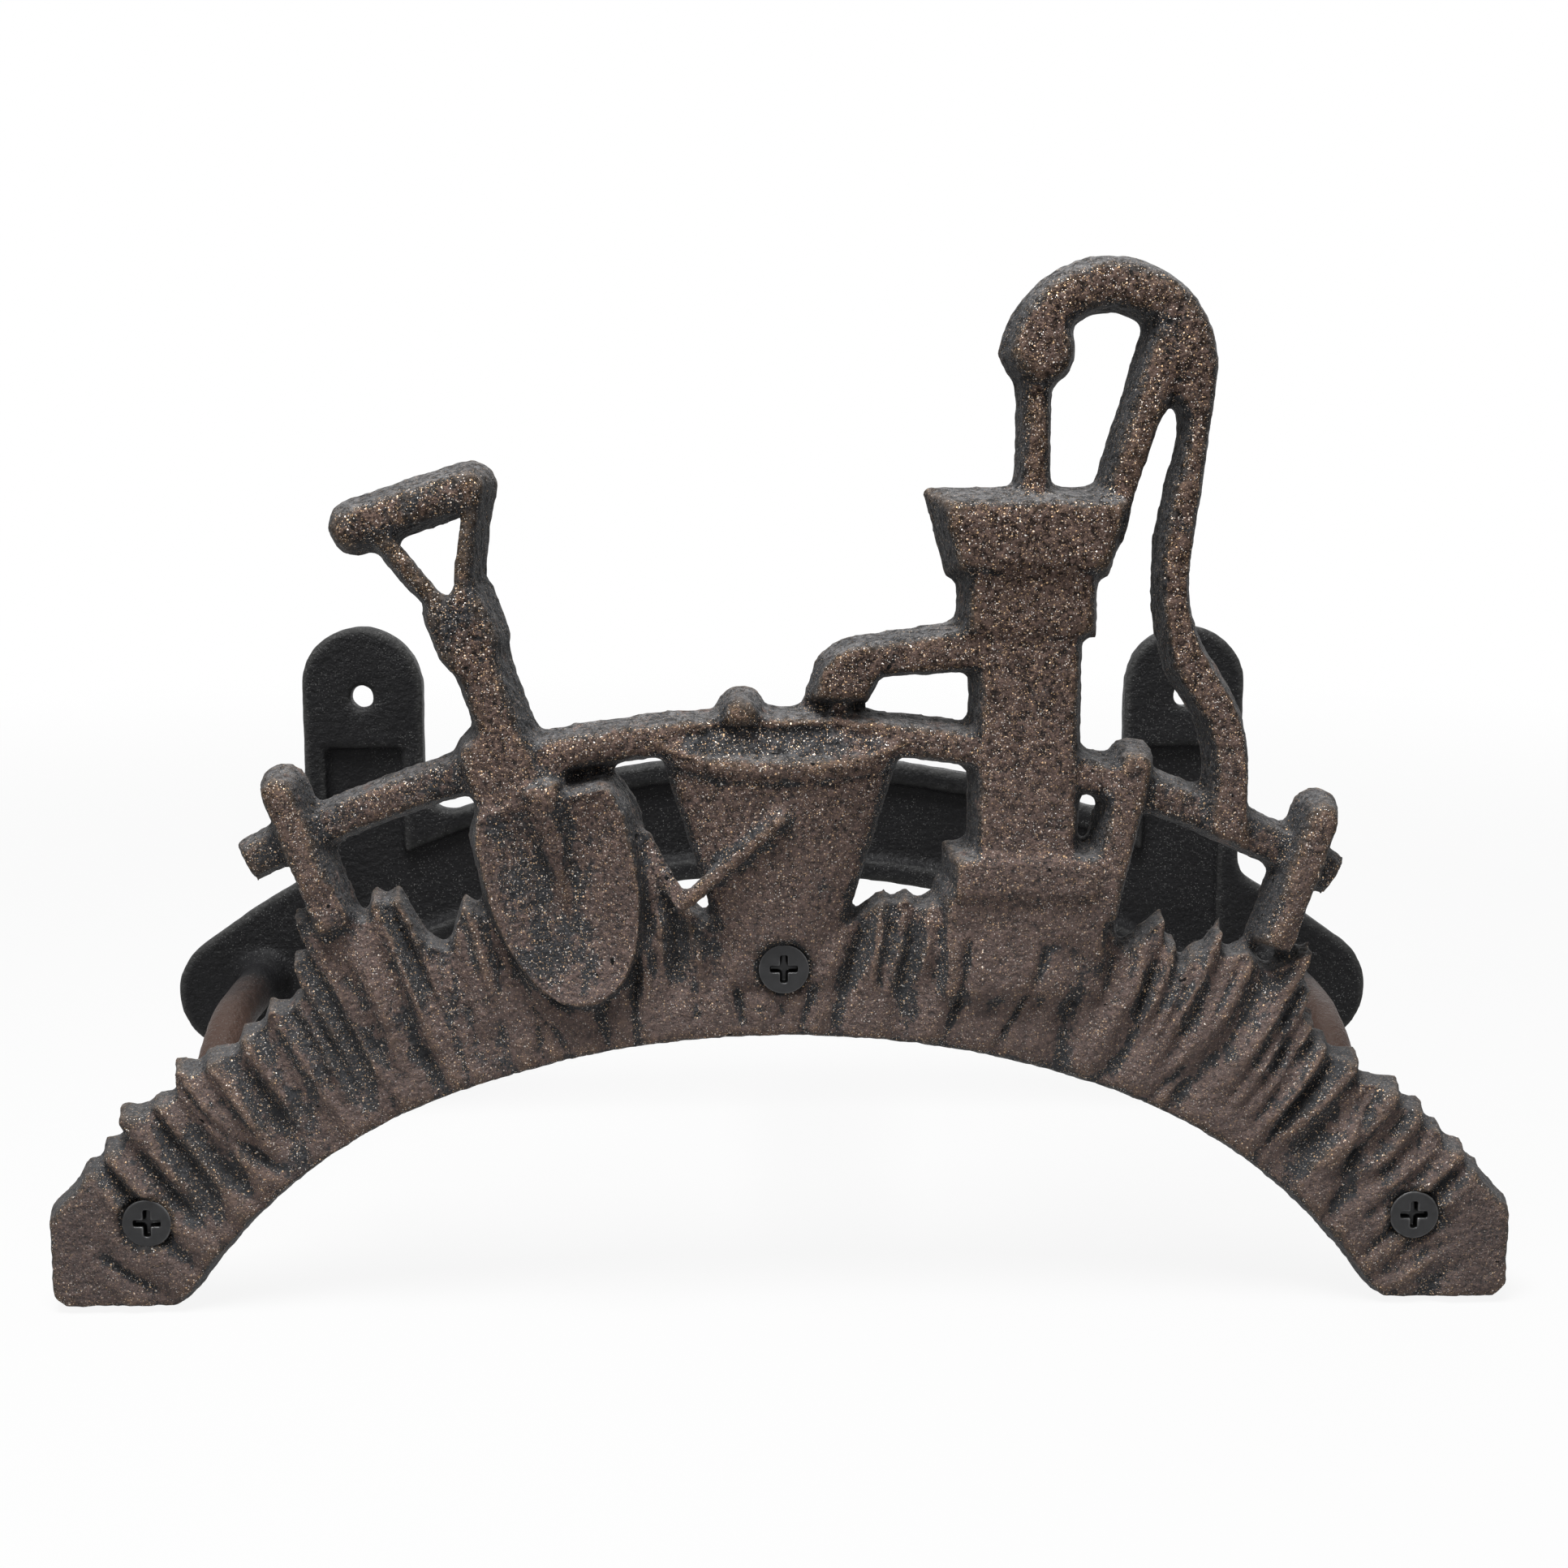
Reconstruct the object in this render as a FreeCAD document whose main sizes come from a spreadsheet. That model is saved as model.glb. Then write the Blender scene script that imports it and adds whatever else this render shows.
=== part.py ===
"""Cast-iron hose hanger: a wall bracket, a garden-scene front plate and the screws between them.

Millimetres, +Z up, the wall is the plane Y = 0 and the front faces -Y.
The origin lies midway between the two wall holes.
"""
import math
import os
import re

import FreeCAD, Part
import Sketcher

Vector = FreeCAD.Vector
LEFT = 1
RIGHT = -1
NEAR = 0.01

# Driving sizes: name, value, what it measures
SIZES = [
    ("draft_angle", 12.0, "slope of every cast side, so that the pattern leaves the sand"),
    ("plate_standoff", 128.0, "wall face to the back of the front plate"),
    # wall bracket
    ("bracket_thickness", 6.5, "back plate of the bracket"),
    ("band_radius", 250.0, "middle line of the bracket's arched band"),
    ("band_crown", 33.5, "band's middle line at its crown, below the wall holes"),
    ("band_height", 34.0, "band from its lower to its upper edge"),
    ("lobe_inset", 14.5, "middle of a rounded end of the band, in from a foot's outer side"),
    ("ear_spacing", 226.5, "wall hole to wall hole"),
    ("ear_width", 33.0, "upright ear"),
    ("ear_top", 2.7, "middle of the ear's round top, above the wall hole"),
    ("ear_fillet", 7.0, "inner corner between ear and band"),
    ("wall_hole", 6.4, "wall screw hole, diameter"),
    ("rim_width", 6.0, "raised rim round the sunk panel"),
    ("panel_depth", 3.0, "depth of the sunk panel"),
    ("panel_top", 14.0, "top of the panel in the ears, below the wall holes"),
    ("arm_diameter", 11.0, "round arms that carry the hose"),
    ("arm_flare", 3.5, "extra radius where an arm meets the plate"),
    ("flare_length", 7.0, "length of that flare"),
    ("side_arm_sag", 0.7, "side arm at the back plate, below the middle of the band"),
    ("centre_arm_root", 32.0, "centre arm at the back plate, below the wall holes"),
    ("arm_straight", 30.0, "level run of an arm before it dips"),
    ("arm_dip", 62.0, "run over which an arm dips"),
    # plate screws
    ("side_screw_inset", 21.7, "side screw, in from a foot's outer side"),
    ("side_screw_rise", 19.6, "side screw above the flat of a foot"),
    ("centre_screw_drop", 42.6, "centre screw below the wall holes"),
    ("side_seat", 8.7, "face of a side screw head, in front of the plate's back"),
    ("centre_seat", 10.0, "face of the centre screw head, in front of the plate's back"),
    ("screw_diameter", 6.0, "shank"),
    ("screw_length", 20.0, "screw from its face to its end"),
    ("head_diameter", 11.2, "countersunk head"),
    ("head_lip", 0.7, "straight edge of the head"),
    ("cross_span", 6.2, "cross recess from tip to tip"),
    ("cross_width", 1.5, "one bar of the cross recess"),
    ("cross_depth", 2.4, "depth of the cross recess"),
    ("tip_bevel", 0.9, "bevel at the screw's end"),
    ("thread_clearance", 0.1, "gap round the shank in the arm"),
    ("shank_clearance", 0.4, "gap round the shank in the front plate"),
    ("head_clearance", 0.6, "gap round the head in its countersink"),
    ("hole_spare", 2.0, "depth of the threaded hole past the screw's end"),
    # arched lower rim and feet of the front plate
    ("rim_depth", 9.0, "rim and feet, front to back"),
    ("crown_drop", 58.0, "underside of the arch at its crown, below the wall holes"),
    ("crown_radius", 215.0, "middle stretch of the arch"),
    ("crown_half", 75.0, "half the width of that stretch"),
    ("haunch_radius", 125.0, "outer stretches of the arch"),
    ("foot_outer", 164.5, "outer side of a foot from the middle"),
    ("foot_drop", 120.6, "flat of the feet below the wall holes"),
    ("foot_side", 20.5, "height of a foot's outer side"),
    ("foot_corner", 2.4, "cut corner at the bottom of a foot"),
    ("foot_shoulder", 8.0, "slanting top of a foot, inward"),
    # grass
    ("turf_drop", 51.0, "crown of the arc on which the blades stand, below the wall holes"),
    ("turf_overlap", 2.0, "rim reaches over the foot of the blades"),
    ("turf_end_rise", 9.3, "end of the rim's upper arc above the flat of the feet"),
    ("turf_end_inset", 22.95, "end of the rim's upper arc, in from a foot's outer side"),
    ("blade_spread", 47.5, "end bearing that the listed blades are drawn for, in degrees"),
    ("root_depth", 8.6, "front of the blades where they leave the rim"),
    ("crest_depth", 11.0, "front of the blades at their ridges"),
    ("valley_depth", 6.6, "front of the plate between the blades"),
    ("tip_slope", 2.6, "blade tips lean back by this"),
    ("tip_fall", 2.0, "ridges drop by this at their tips"),
    ("blade_unit", 1.0, "length of one unit in the list of blades"),
    # fence
    ("rail_depth", 10.0, "fence rail, front to back"),
    ("rail_top", 12.8, "crown of the rail's front, above the wall holes"),
    ("rail_height", 6.2, "front of the rail"),
    ("rail_radius", 250.0, "upper edge of the rail's front"),
    ("rail_half", 121.0, "half the rail's span"),
    ("rail_shift", 2.6, "middle of the rail, to the right"),
    ("rail_lean", 1.0, "rail dips to the right by this, in degrees"),
    ("post_depth", 12.0, "fence posts, front to back"),
    ("post_width", 6.2, "front of a post"),
    # spade
    ("spade_x", -55.2, "foot of the spade's shaft"),
    ("spade_z", -5.0, "foot of the spade's shaft"),
    ("spade_lean", -19.7, "shaft against the upright, in degrees"),
    ("shaft_depth", 13.0, "shaft and fork, front to back"),
    ("grip_depth", 12.6, "grip bar, front to back"),
    ("shaft_width", 7.8, "front of the shaft"),
    ("collar_foot", 35.5, "start of the collar, up the shaft"),
    ("collar_width", 11.8, "front of the collar"),
    ("collar_length", 11.5, "collar along the shaft"),
    ("fork_length", 15.0, "fork from the collar to the grip"),
    ("fork_width", 24.0, "fork where it meets the grip"),
    ("fork_strand", 3.6, "one strand of the fork"),
    ("grip_length", 33.5, "front of the grip bar, end to end"),
    ("grip_shift", -2.6, "middle of the grip bar from the shaft's middle line"),
    ("grip_height", 6.4, "front of the grip bar"),
    ("blade_x", -52.0, "middle of the spade blade's top edge"),
    ("blade_z", -4.7, "middle of the spade blade's top edge"),
    ("blade_lean", -12.0, "spade blade against the upright, in degrees"),
    ("blade_depth", 14.2, "spade blade, front to back"),
    ("blade_width", 32.8, "front of the spade blade"),
    ("blade_neck", 27.0, "top edge of the spade blade"),
    ("blade_shoulder", 6.0, "height of the rounded shoulder"),
    ("blade_side", 17.0, "top edge to the start of the point"),
    ("blade_length", 46.0, "top edge to the tip"),
    ("blade_nose", 8.0, "radius of the tip"),
    ("nose_turn", 45.0, "the tip's arc each way from its end, in degrees"),
    ("blade_flank", 37.0, "radius of the sides of the point"),
    ("blade_rim", 2.2, "raised edge of the spade blade"),
    ("blade_hollow", 4.6, "depth of the hollow in the spade blade"),
    ("socket_depth", 15.4, "tongue of the shaft on the blade, front to back"),
    ("socket_width", 7.4, "front of that tongue at its top"),
    ("socket_length", 13.5, "front of that tongue, top to point"),
    # bucket
    ("bucket_x", -0.7, "middle of the bucket"),
    ("bucket_top", 10.4, "middle of the bucket's mouth, above the wall holes"),
    ("bucket_height", 56.6, "bucket from its foot to the middle of its mouth"),
    ("bucket_mouth", 27.8, "half the width of the mouth"),
    ("bucket_foot", 10.6, "half the width of the foot"),
    ("bucket_core", 5.0, "middle of the bucket in front of the plate's back"),
    ("mouth_bulge", 9.6, "mouth, middle to front"),
    ("foot_bulge", 6.2, "foot, middle to front"),
    ("oval_round", 0.65, "radius of the bucket's sides, as a share of its bulge"),
    ("mouth_tilt", 32.0, "slope of the mouth towards the front, in degrees"),
    ("mouth_band", 3.4, "height of the rolled rim"),
    ("mouth_swell", 1.1, "rolled rim stands proud by this"),
    ("mouth_wall", 2.6, "wall round the mouth"),
    ("mouth_hollow", 3.5, "depth of the mouth"),
    ("bail_radius", 1.9, "bail wire"),
    ("bail_sunk", 0.2, "bail wire let into the bucket's front"),
    ("bail_ear_drop", 18.6, "front end of the bail, below the mouth"),
    ("bail_fall", 19.5, "bend of the bail, below its front end"),
    ("bail_reach", 21.5, "bend of the bail, to the side of its front end"),
    ("bail_rise", 14.0, "far end of the bail, above its bend"),
    ("bail_side", 8.5, "far end of the bail, past its bend"),
    # pump
    ("pump_x", 53.0, "middle of the pump"),
    ("column_depth", 12.0, "pump column, front to back"),
    ("column_width", 20.4, "front of the column"),
    ("column_top", 32.0, "top of the lower column, above the wall holes"),
    ("collar_rise", 13.5, "upper column, height"),
    ("upper_width", 26.0, "front of the upper column"),
    ("upper_depth", 13.0, "upper column, front to back"),
    ("hopper_depth", 15.0, "hopper, front to back"),
    ("hopper_foot", 31.0, "front of the hopper at its foot"),
    ("hopper_mouth", 38.6, "front of the hopper at its top"),
    ("hopper_height", 14.0, "front of the hopper"),
    ("base_top", 18.0, "top of the base, below the wall holes"),
    ("base_width", 30.4, "front of the upper base step"),
    ("base_height", 8.0, "upper base step"),
    ("base_depth", 13.4, "upper base step, front to back"),
    ("plinth_width", 34.6, "front of the lower base step"),
    ("plinth_height", 23.0, "lower base step"),
    ("plinth_depth", 11.8, "lower base step, front to back"),
    ("spout_depth", 10.6, "spout, front to back"),
    ("spout_high", 33.6, "top of the spout at the column, above the wall holes"),
    ("spout_low", 24.8, "underside of the spout at the column, above the wall holes"),
    ("spout_knee", 37.4, "start of the spout's bend, from the pump's middle"),
    ("spout_fall", 5.4, "fall of the spout's top from the column to its bend"),
    ("spout_sag", 1.9, "fall of the spout's underside from the column to its mouth"),
    ("spout_bend", 9.0, "outer radius of the spout's bend"),
    ("spout_reach", 46.2, "tip of the spout, from the pump's middle"),
    ("nozzle_mouth", 17.4, "mouth of the spout, above the wall holes"),
    ("nozzle_width", 10.6, "mouth of the spout"),
    ("nozzle_lip", 5.0, "straight front of the spout above its mouth"),
    ("nozzle_lean", 1.4, "that front leans out by this"),
    ("web_width", 3.4, "web between spout and rail"),
    ("web_depth", 7.0, "that web, front to back"),
    ("arch_x", 16.5, "middle of the pump's arch, from the pump's middle"),
    ("arch_z", 87.5, "middle of the pump's arch, above the wall holes"),
    ("arch_depth", 11.0, "arch, front to back"),
    ("arch_outer", 21.6, "outer radius of the arch's front"),
    ("arch_width", 7.8, "front of the arch"),
    ("arch_lip", 3.2, "outer end of the arch over the knob, above its inner end"),
    ("knob_x", 1.5, "knob at the arch's end, from the pump's middle"),
    ("knob_z", 91.2, "knob, above the wall holes"),
    ("knob_radius", 5.9, "front of the knob"),
    ("knob_depth", 11.4, "knob, front to back"),
    ("rod_x", 0.7, "pump rod, from the pump's middle"),
    ("rod_width", 4.3, "front of the pump rod"),
    ("rod_depth", 9.0, "pump rod, front to back"),
    ("stay_x", 16.4, "foot of the stay that carries the lever, from the pump's middle"),
    ("stay_z", 52.0, "foot of the stay, above the wall holes"),
    ("stay_lean", 16.0, "stay against the upright, in degrees"),
    ("stay_length", 46.0, "stay from foot to end"),
    ("stay_width", 6.2, "front of the stay"),
    ("lever_depth", 10.2, "lever, front to back"),
    ("lever_width", 6.6, "front of the lever"),
    ("lever_top", 88.0, "top of the lever, above the wall holes"),
    ("lever_waist_x", 30.4, "end of the lever's straight run, from the pump's middle"),
    ("lever_waist_z", 46.0, "end of the lever's straight run, above the wall holes"),
    ("lever_lean", 6.2, "straight run against the upright, in degrees"),
    ("lever_sweep", 38.0, "slope of the lever where its bend turns back, in degrees"),
    ("lever_bend", 35.0, "radius of the lever's first bend"),
    ("lever_return", 33.5, "radius of the lever's second bend"),
    ("lever_end", 11.0, "end of the lever's hand piece, below the wall holes"),
]

# Fence posts from left to right: name, foot x, foot z, lean in degrees, height to the round top
POSTS = [
    ("post_far_left", -98.6, -33.0, -20.0, 32.0),
    ("post_left", -55.2, -29.2, -18.0, 36.0),
    ("post_middle", -9.3, -26.0, 0.0, 40.0),
    ("post_right", 69.5, -31.0, 12.0, 34.0),
    ("post_far_right", 108.7, -37.8, 18.0, 30.0),
]

# Grass from left to right, seen from the middle of its arc:
# bearing and height of a blade's tip, then of the notch on its right
BLADES = [
    (-45.9, 29.7, -44.9, 27.6), (-44.2, 30.2, -43.1, 27.8), (-42.0, 33.8, -40.7, 29.4),
    (-40.0, 30.0, -38.9, 27.4), (-37.7, 33.4, -36.6, 29.4), (-35.8, 31.0, -34.2, 27.4),
    (-33.3, 31.0, -32.2, 28.8), (-31.1, 32.6, -30.2, 29.2), (-29.5, 31.0, -29.0, 29.6),
    (-28.5, 39.6, -27.5, 37.0), (-27.2, 48.0, -26.2, 41.0), (-25.0, 43.0, -23.7, 40.0),
    (-22.8, 44.8, -22.3, 41.2), (-21.5, 43.0, -21.1, 29.0), (-20.8, 29.6, -20.3, 26.2),
    (-18.3, 36.4, -17.0, 28.0), (-15.6, 26.0, -14.2, 22.0), (-12.8, 26.0, -11.4, 22.0),
    (-10.1, 31.0, -9.2, 26.0), (-8.6, 33.5, -8.1, 28.0), (-7.5, 37.0, -6.6, 28.0),
    (-5.6, 24.0, -4.4, 20.0), (-3.0, 18.0, -1.5, 15.0), (0.0, 18.0, 1.5, 15.0),
    (3.0, 20.0, 4.4, 21.0), (5.9, 26.4, 6.4, 24.2), (7.2, 27.4, 7.9, 24.8),
    (8.8, 27.2, 9.7, 22.0), (10.7, 24.0, 11.7, 20.0), (12.9, 23.0, 14.0, 19.5),
    (15.2, 23.5, 16.4, 20.0), (17.6, 25.0, 18.6, 22.0), (19.6, 30.6, 20.4, 26.0),
    (22.0, 37.4, 22.7, 31.0), (23.3, 32.6, 24.0, 25.0), (24.4, 33.0, 24.7, 31.0),
    (25.2, 40.4, 26.0, 34.0), (27.2, 38.0, 28.7, 35.0), (30.4, 45.2, 30.9, 35.4),
    (31.5, 37.4, 32.0, 30.6), (32.7, 31.8, 33.3, 27.8), (34.1, 29.2, 34.7, 26.4),
    (36.3, 30.2, 37.2, 25.8), (39.3, 30.8, 40.1, 27.6), (41.3, 30.4, 42.1, 27.8),
    (43.0, 29.6, 43.8, 27.4), (44.9, 30.2, 45.6, 28.0), (46.4, 29.6, 47.0, 27.0),
]

doc = FreeCAD.newDocument("hose_hanger")
sheet = doc.addObject("Spreadsheet::Sheet", "Sizes")


def fill_sheet():
    """Put every driving size and the places of the fence posts into the sheet."""
    rows = list(SIZES)
    for name, foot_x, foot_z, lean, height in POSTS:
        rows.append((name + "_x", foot_x, "foot of the post"))
        rows.append((name + "_z", foot_z, "foot of the post"))
        rows.append((name + "_lean", lean, "post against the upright, in degrees"))
        rows.append((name + "_height", height, "post up to its round top"))
    for row, (alias, value, meaning) in enumerate(rows, start=1):
        sheet.set("A%d" % row, alias)
        sheet.set("B%d" % row, str(value))
        sheet.set("C%d" % row, meaning)
        sheet.setAlias("B%d" % row, alias)
    doc.recompute()
    return {alias for alias, value, meaning in rows}


ALIASES = fill_sheet()


def formula(text):
    """Turn size names into references to the sheet."""
    def reference(match):
        word = match.group(0)
        return "Sizes." + word if word in ALIASES else word
    return re.sub(r"[a-z_]+", reference, text)


def value_of(text):
    """Work out a formula with the sheet's present values."""
    return float(sheet.evalExpression(formula(text)))


def bind(thing, name, text):
    thing.setExpression(name, formula(text))


def place(thing, x, y, z, axis=Vector(0, 1, 0), turn="0"):
    """Bind where a thing stands and how far it is turned about one axis."""
    base = Vector(value_of(x), value_of(y), value_of(z))
    thing.Placement = FreeCAD.Placement(base, FreeCAD.Rotation(axis, value_of(turn)))
    bind(thing, "Placement.Base.x", x)
    bind(thing, "Placement.Base.y", y)
    bind(thing, "Placement.Base.z", z)
    if value_of(turn) != 0:
        bind(thing, "Placement.Rotation.Angle", turn)


def arc_between(start, end, radius, side):
    """Arc from start to end whose middle lies on the given side of the chord."""
    chord = end - start
    rise = math.sqrt(radius ** 2 - (chord.Length / 2) ** 2)
    across = Vector(-chord.y, chord.x, 0).normalize()
    middle = (start + end) / 2 + across * (rise * side)
    circle = Part.Circle(middle, Vector(0, 0, 1), radius)
    first = math.atan2(start.y - middle.y, start.x - middle.x)
    last = math.atan2(end.y - middle.y, end.x - middle.x)
    if side == LEFT:
        return Part.ArcOfCircle(circle, first, last), 1, 2
    return Part.ArcOfCircle(circle, last, first), 2, 1


def draw(sketch, points, closed=True):
    """Draw lines and arcs through points (x, y) or (x, y, side, radius of the arc to the next)."""
    places = [Vector(value_of(point[0]), value_of(point[1]), 0) for point in points]
    count = len(points) if closed else len(points) - 1
    edges = []
    for index in range(count):
        start = places[index]
        end = places[(index + 1) % len(points)]
        if len(points[index]) > 2:
            side, radius = points[index][2:]
            curve, first, last = arc_between(start, end, value_of(radius), side)
        else:
            curve, first, last = Part.LineSegment(start, end), 1, 2
        edges.append((sketch.addGeometry(curve, False), first, last))
    for index in range(count if closed else count - 1):
        edge, first, last = edges[index]
        following, onward, beyond = edges[(index + 1) % count]
        sketch.addConstraint(Sketcher.Constraint("Coincident", edge, last, following, onward))
    for index, point in enumerate(points):
        edge, first, last = edges[min(index, count - 1)]
        vertex = first if index < count else last
        fix(sketch, ("DistanceX", -1, 1, edge, vertex), point[0])
        fix(sketch, ("DistanceY", -1, 1, edge, vertex), point[1])
        if len(point) > 2 and index < count:
            fix(sketch, ("Radius", edge), point[3])


def fix(sketch, what, text):
    """Add a dimension to a sketch and bind it to a formula."""
    index = sketch.addConstraint(Sketcher.Constraint(*what, value_of(text)))
    bind(sketch, "Constraints[%d]" % index, text)


def draw_circle(sketch, x, y, radius):
    middle = Vector(value_of(x), value_of(y), 0)
    edge = sketch.addGeometry(Part.Circle(middle, Vector(0, 0, 1), value_of(radius)), False)
    fix(sketch, ("DistanceX", -1, 1, edge, 3), x)
    fix(sketch, ("DistanceY", -1, 1, edge, 3), y)
    fix(sketch, ("Radius", edge), radius)


def sketch_in(body, name, role="XZ_Plane", offset="0"):
    """A sketch on one of the body's own planes, moved along the plane's normal."""
    sketch = body.newObject("Sketcher::SketchObject", name)
    plane = next(feature for feature in body.Origin.OriginFeatures if feature.Role == role)
    sketch.AttachmentSupport = (plane, [""])
    sketch.MapMode = "FlatFace"
    bind(sketch, "AttachmentOffset.Base.z", offset)
    return sketch


def mirrored(points):
    """Complete a right-hand outline, listed upwards, with its mirror image."""
    other = []
    for index in range(len(points) - 1, -1, -1):
        x, y = points[index][:2]
        curve = points[index - 1][2:] if index > 0 else ()
        other.append(("-(%s)" % x, y) + tuple(curve))
    return points + other


def casting(name, outlines, depth, x="0", z="0", lean="0"):
    """A raised form on the plate's flat back: its front outline, drafted out towards the back."""
    body = doc.addObject("PartDesign::Body", name)
    face = sketch_in(body, name + "_face", offset=depth)
    for outline in outlines:
        draw(face, outline)
    pad = body.newObject("PartDesign::Pad", name + "_pad")
    pad.Profile = face
    pad.Reversed = True
    bind(pad, "Length", depth)
    bind(pad, "TaperAngle", "draft_angle")
    place(body, x, "-plate_standoff", z, turn=lean)
    return body


def joined(name, shapes):
    whole = doc.addObject("Part::MultiFuse", name)
    whole.Shapes = shapes
    whole.Refine = True
    return whole


def cut(name, base, tool):
    rest = doc.addObject("Part::Cut", name)
    rest.Base = base
    rest.Tool = tool
    rest.Refine = False
    return rest


def round_bar(name, radius, length, x, y, z):
    """A cylinder that runs forwards, from its place towards the front."""
    bar = doc.addObject("Part::Cylinder", name)
    bind(bar, "Radius", radius)
    bind(bar, "Height", length)
    place(bar, x, y, z, Vector(1, 0, 0), "90")
    return bar


def cone(name, back_radius, front_radius, length, x, y, z):
    """A cone that runs forwards, from its place towards the front."""
    form = doc.addObject("Part::Cone", name)
    bind(form, "Radius1", back_radius)
    bind(form, "Radius2", front_radius)
    bind(form, "Height", length)
    place(form, x, y, z, Vector(1, 0, 0), "90")
    return form


# the feet set where the side screws stand, and the arms leave the band behind them
SIDE_SCREW_X = "(foot_outer - side_screw_inset)"
SIDE_SCREW_DROP = "(foot_drop - side_screw_rise)"
SIDE_ARM_ROOT = ("(band_radius + band_crown + side_arm_sag - sqrt(band_radius^2 - %s^2))" % SIDE_SCREW_X)
# the rim's upper arc spans from foot to foot, and the grass stands on one just inside it
TURF_SPAN = "(foot_outer - turf_end_inset)"
TURF_SAG = "(foot_drop - turf_end_rise - turf_drop + turf_overlap)"
RIM_RADIUS = "((%s^2 + %s^2) / (2 * %s))" % (TURF_SPAN, TURF_SAG, TURF_SAG)
TURF_RADIUS = "(%s - turf_overlap)" % RIM_RADIUS
TURF_END = "asin(%s / %s)" % (TURF_SPAN, RIM_RADIUS)

# Screw places: name, x, distance below the wall holes, face of the head, arm's root
SCREWS = [
    ("left", "-" + SIDE_SCREW_X, SIDE_SCREW_DROP, "side_seat", SIDE_ARM_ROOT),
    ("centre", "0", "centre_screw_drop", "centre_seat", "centre_arm_root"),
    ("right", SIDE_SCREW_X, SIDE_SCREW_DROP, "side_seat", SIDE_ARM_ROOT),
]


def bracket_plate():
    """Back plate: an arched band with round ends, two upright ears and a sunk panel."""
    def on_arc(radius, x):
        return "sqrt((%s)^2 - (%s)^2) - band_radius - band_crown" % (radius, x)

    outer = "band_radius + band_height / 2"
    inner = "band_radius - band_height / 2"
    lobe = "(foot_outer - lobe_inset)"
    slope = "sqrt(band_radius^2 - %s^2) / band_radius" % lobe
    ear_out = "ear_spacing / 2 + ear_width / 2"
    ear_in = "ear_spacing / 2 - ear_width / 2"
    lobe_low_x = "%s * (%s) / band_radius" % (lobe, inner)
    lobe_high_x = "%s * (%s) / band_radius" % (lobe, outer)
    lobe_mid_x = "%s + band_height / 2 * %s" % (lobe, slope)
    lobe_mid_z = "%s - band_height / 2 * %s / band_radius" % (on_arc("band_radius", lobe), lobe)
    right_side = [
        (lobe_low_x, on_arc(inner, lobe_low_x), LEFT, "band_height / 2"),
        (lobe_mid_x, lobe_mid_z, LEFT, "band_height / 2"),
        (lobe_high_x, on_arc(outer, lobe_high_x), LEFT, outer),
        (ear_out, on_arc(outer, ear_out)),
        (ear_out, "ear_top", LEFT, "ear_width / 2"),
        ("ear_spacing / 2", "ear_top + ear_width / 2", LEFT, "ear_width / 2"),
        (ear_in, "ear_top"),
        (ear_in, on_arc(outer, ear_in), LEFT, outer),
    ]
    outline = mirrored(right_side)
    outline[-1] = outline[-1][:2] + (RIGHT, inner)

    body = doc.addObject("PartDesign::Body", "bracket_plate")
    plan = sketch_in(body, "plate_plan")
    draw(plan, outline)
    pad = body.newObject("PartDesign::Pad", "plate_pad")
    pad.Profile = plan
    bind(pad, "Length", "bracket_thickness")

    panel_out = "ear_spacing / 2 + ear_width / 2 - rim_width"
    panel_in = "ear_spacing / 2 - ear_width / 2 + rim_width"
    panel_high = "band_radius + band_height / 2 - rim_width"
    panel_low = "band_radius - band_height / 2 + rim_width"
    panel_side = [
        (panel_out, on_arc(panel_low, panel_out)),
        (panel_out, "-panel_top"),
        (panel_in, "-panel_top"),
        (panel_in, on_arc(panel_high, panel_in), LEFT, panel_high),
    ]
    panel = mirrored(panel_side)
    panel[-1] = panel[-1][:2] + (RIGHT, panel_low)
    sunk = sketch_in(body, "panel_plan", offset="bracket_thickness")
    draw(sunk, panel)
    pocket = body.newObject("PartDesign::Pocket", "panel_pocket")
    pocket.Profile = sunk
    bind(pocket, "Length", "panel_depth")

    holes = sketch_in(body, "wall_hole_plan", offset="bracket_thickness")
    for side in ("-", ""):
        draw_circle(holes, side + "ear_spacing / 2", "0", "wall_hole / 2")
    drilled = body.newObject("PartDesign::Pocket", "wall_holes")
    drilled.Profile = holes
    drilled.Type = "ThroughAll"
    doc.recompute()

    corners = []
    spots = [(value_of(x), value_of(on_arc(outer, x))) for x in (ear_in, ear_out)]
    for number, edge in enumerate(drilled.Shape.Edges, start=1):
        middle = edge.CenterOfMass
        along_y = abs(edge.BoundBox.YLength - edge.Length) < NEAR
        if along_y and any(abs(abs(middle.x) - x) < NEAR and abs(middle.z - z) < NEAR for x, z in spots):
            corners.append("Edge%d" % number)
    fillet = body.newObject("PartDesign::Fillet", "ear_fillets")
    fillet.Base = (drilled, corners)
    bind(fillet, "Radius", "ear_fillet")
    return body


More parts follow.
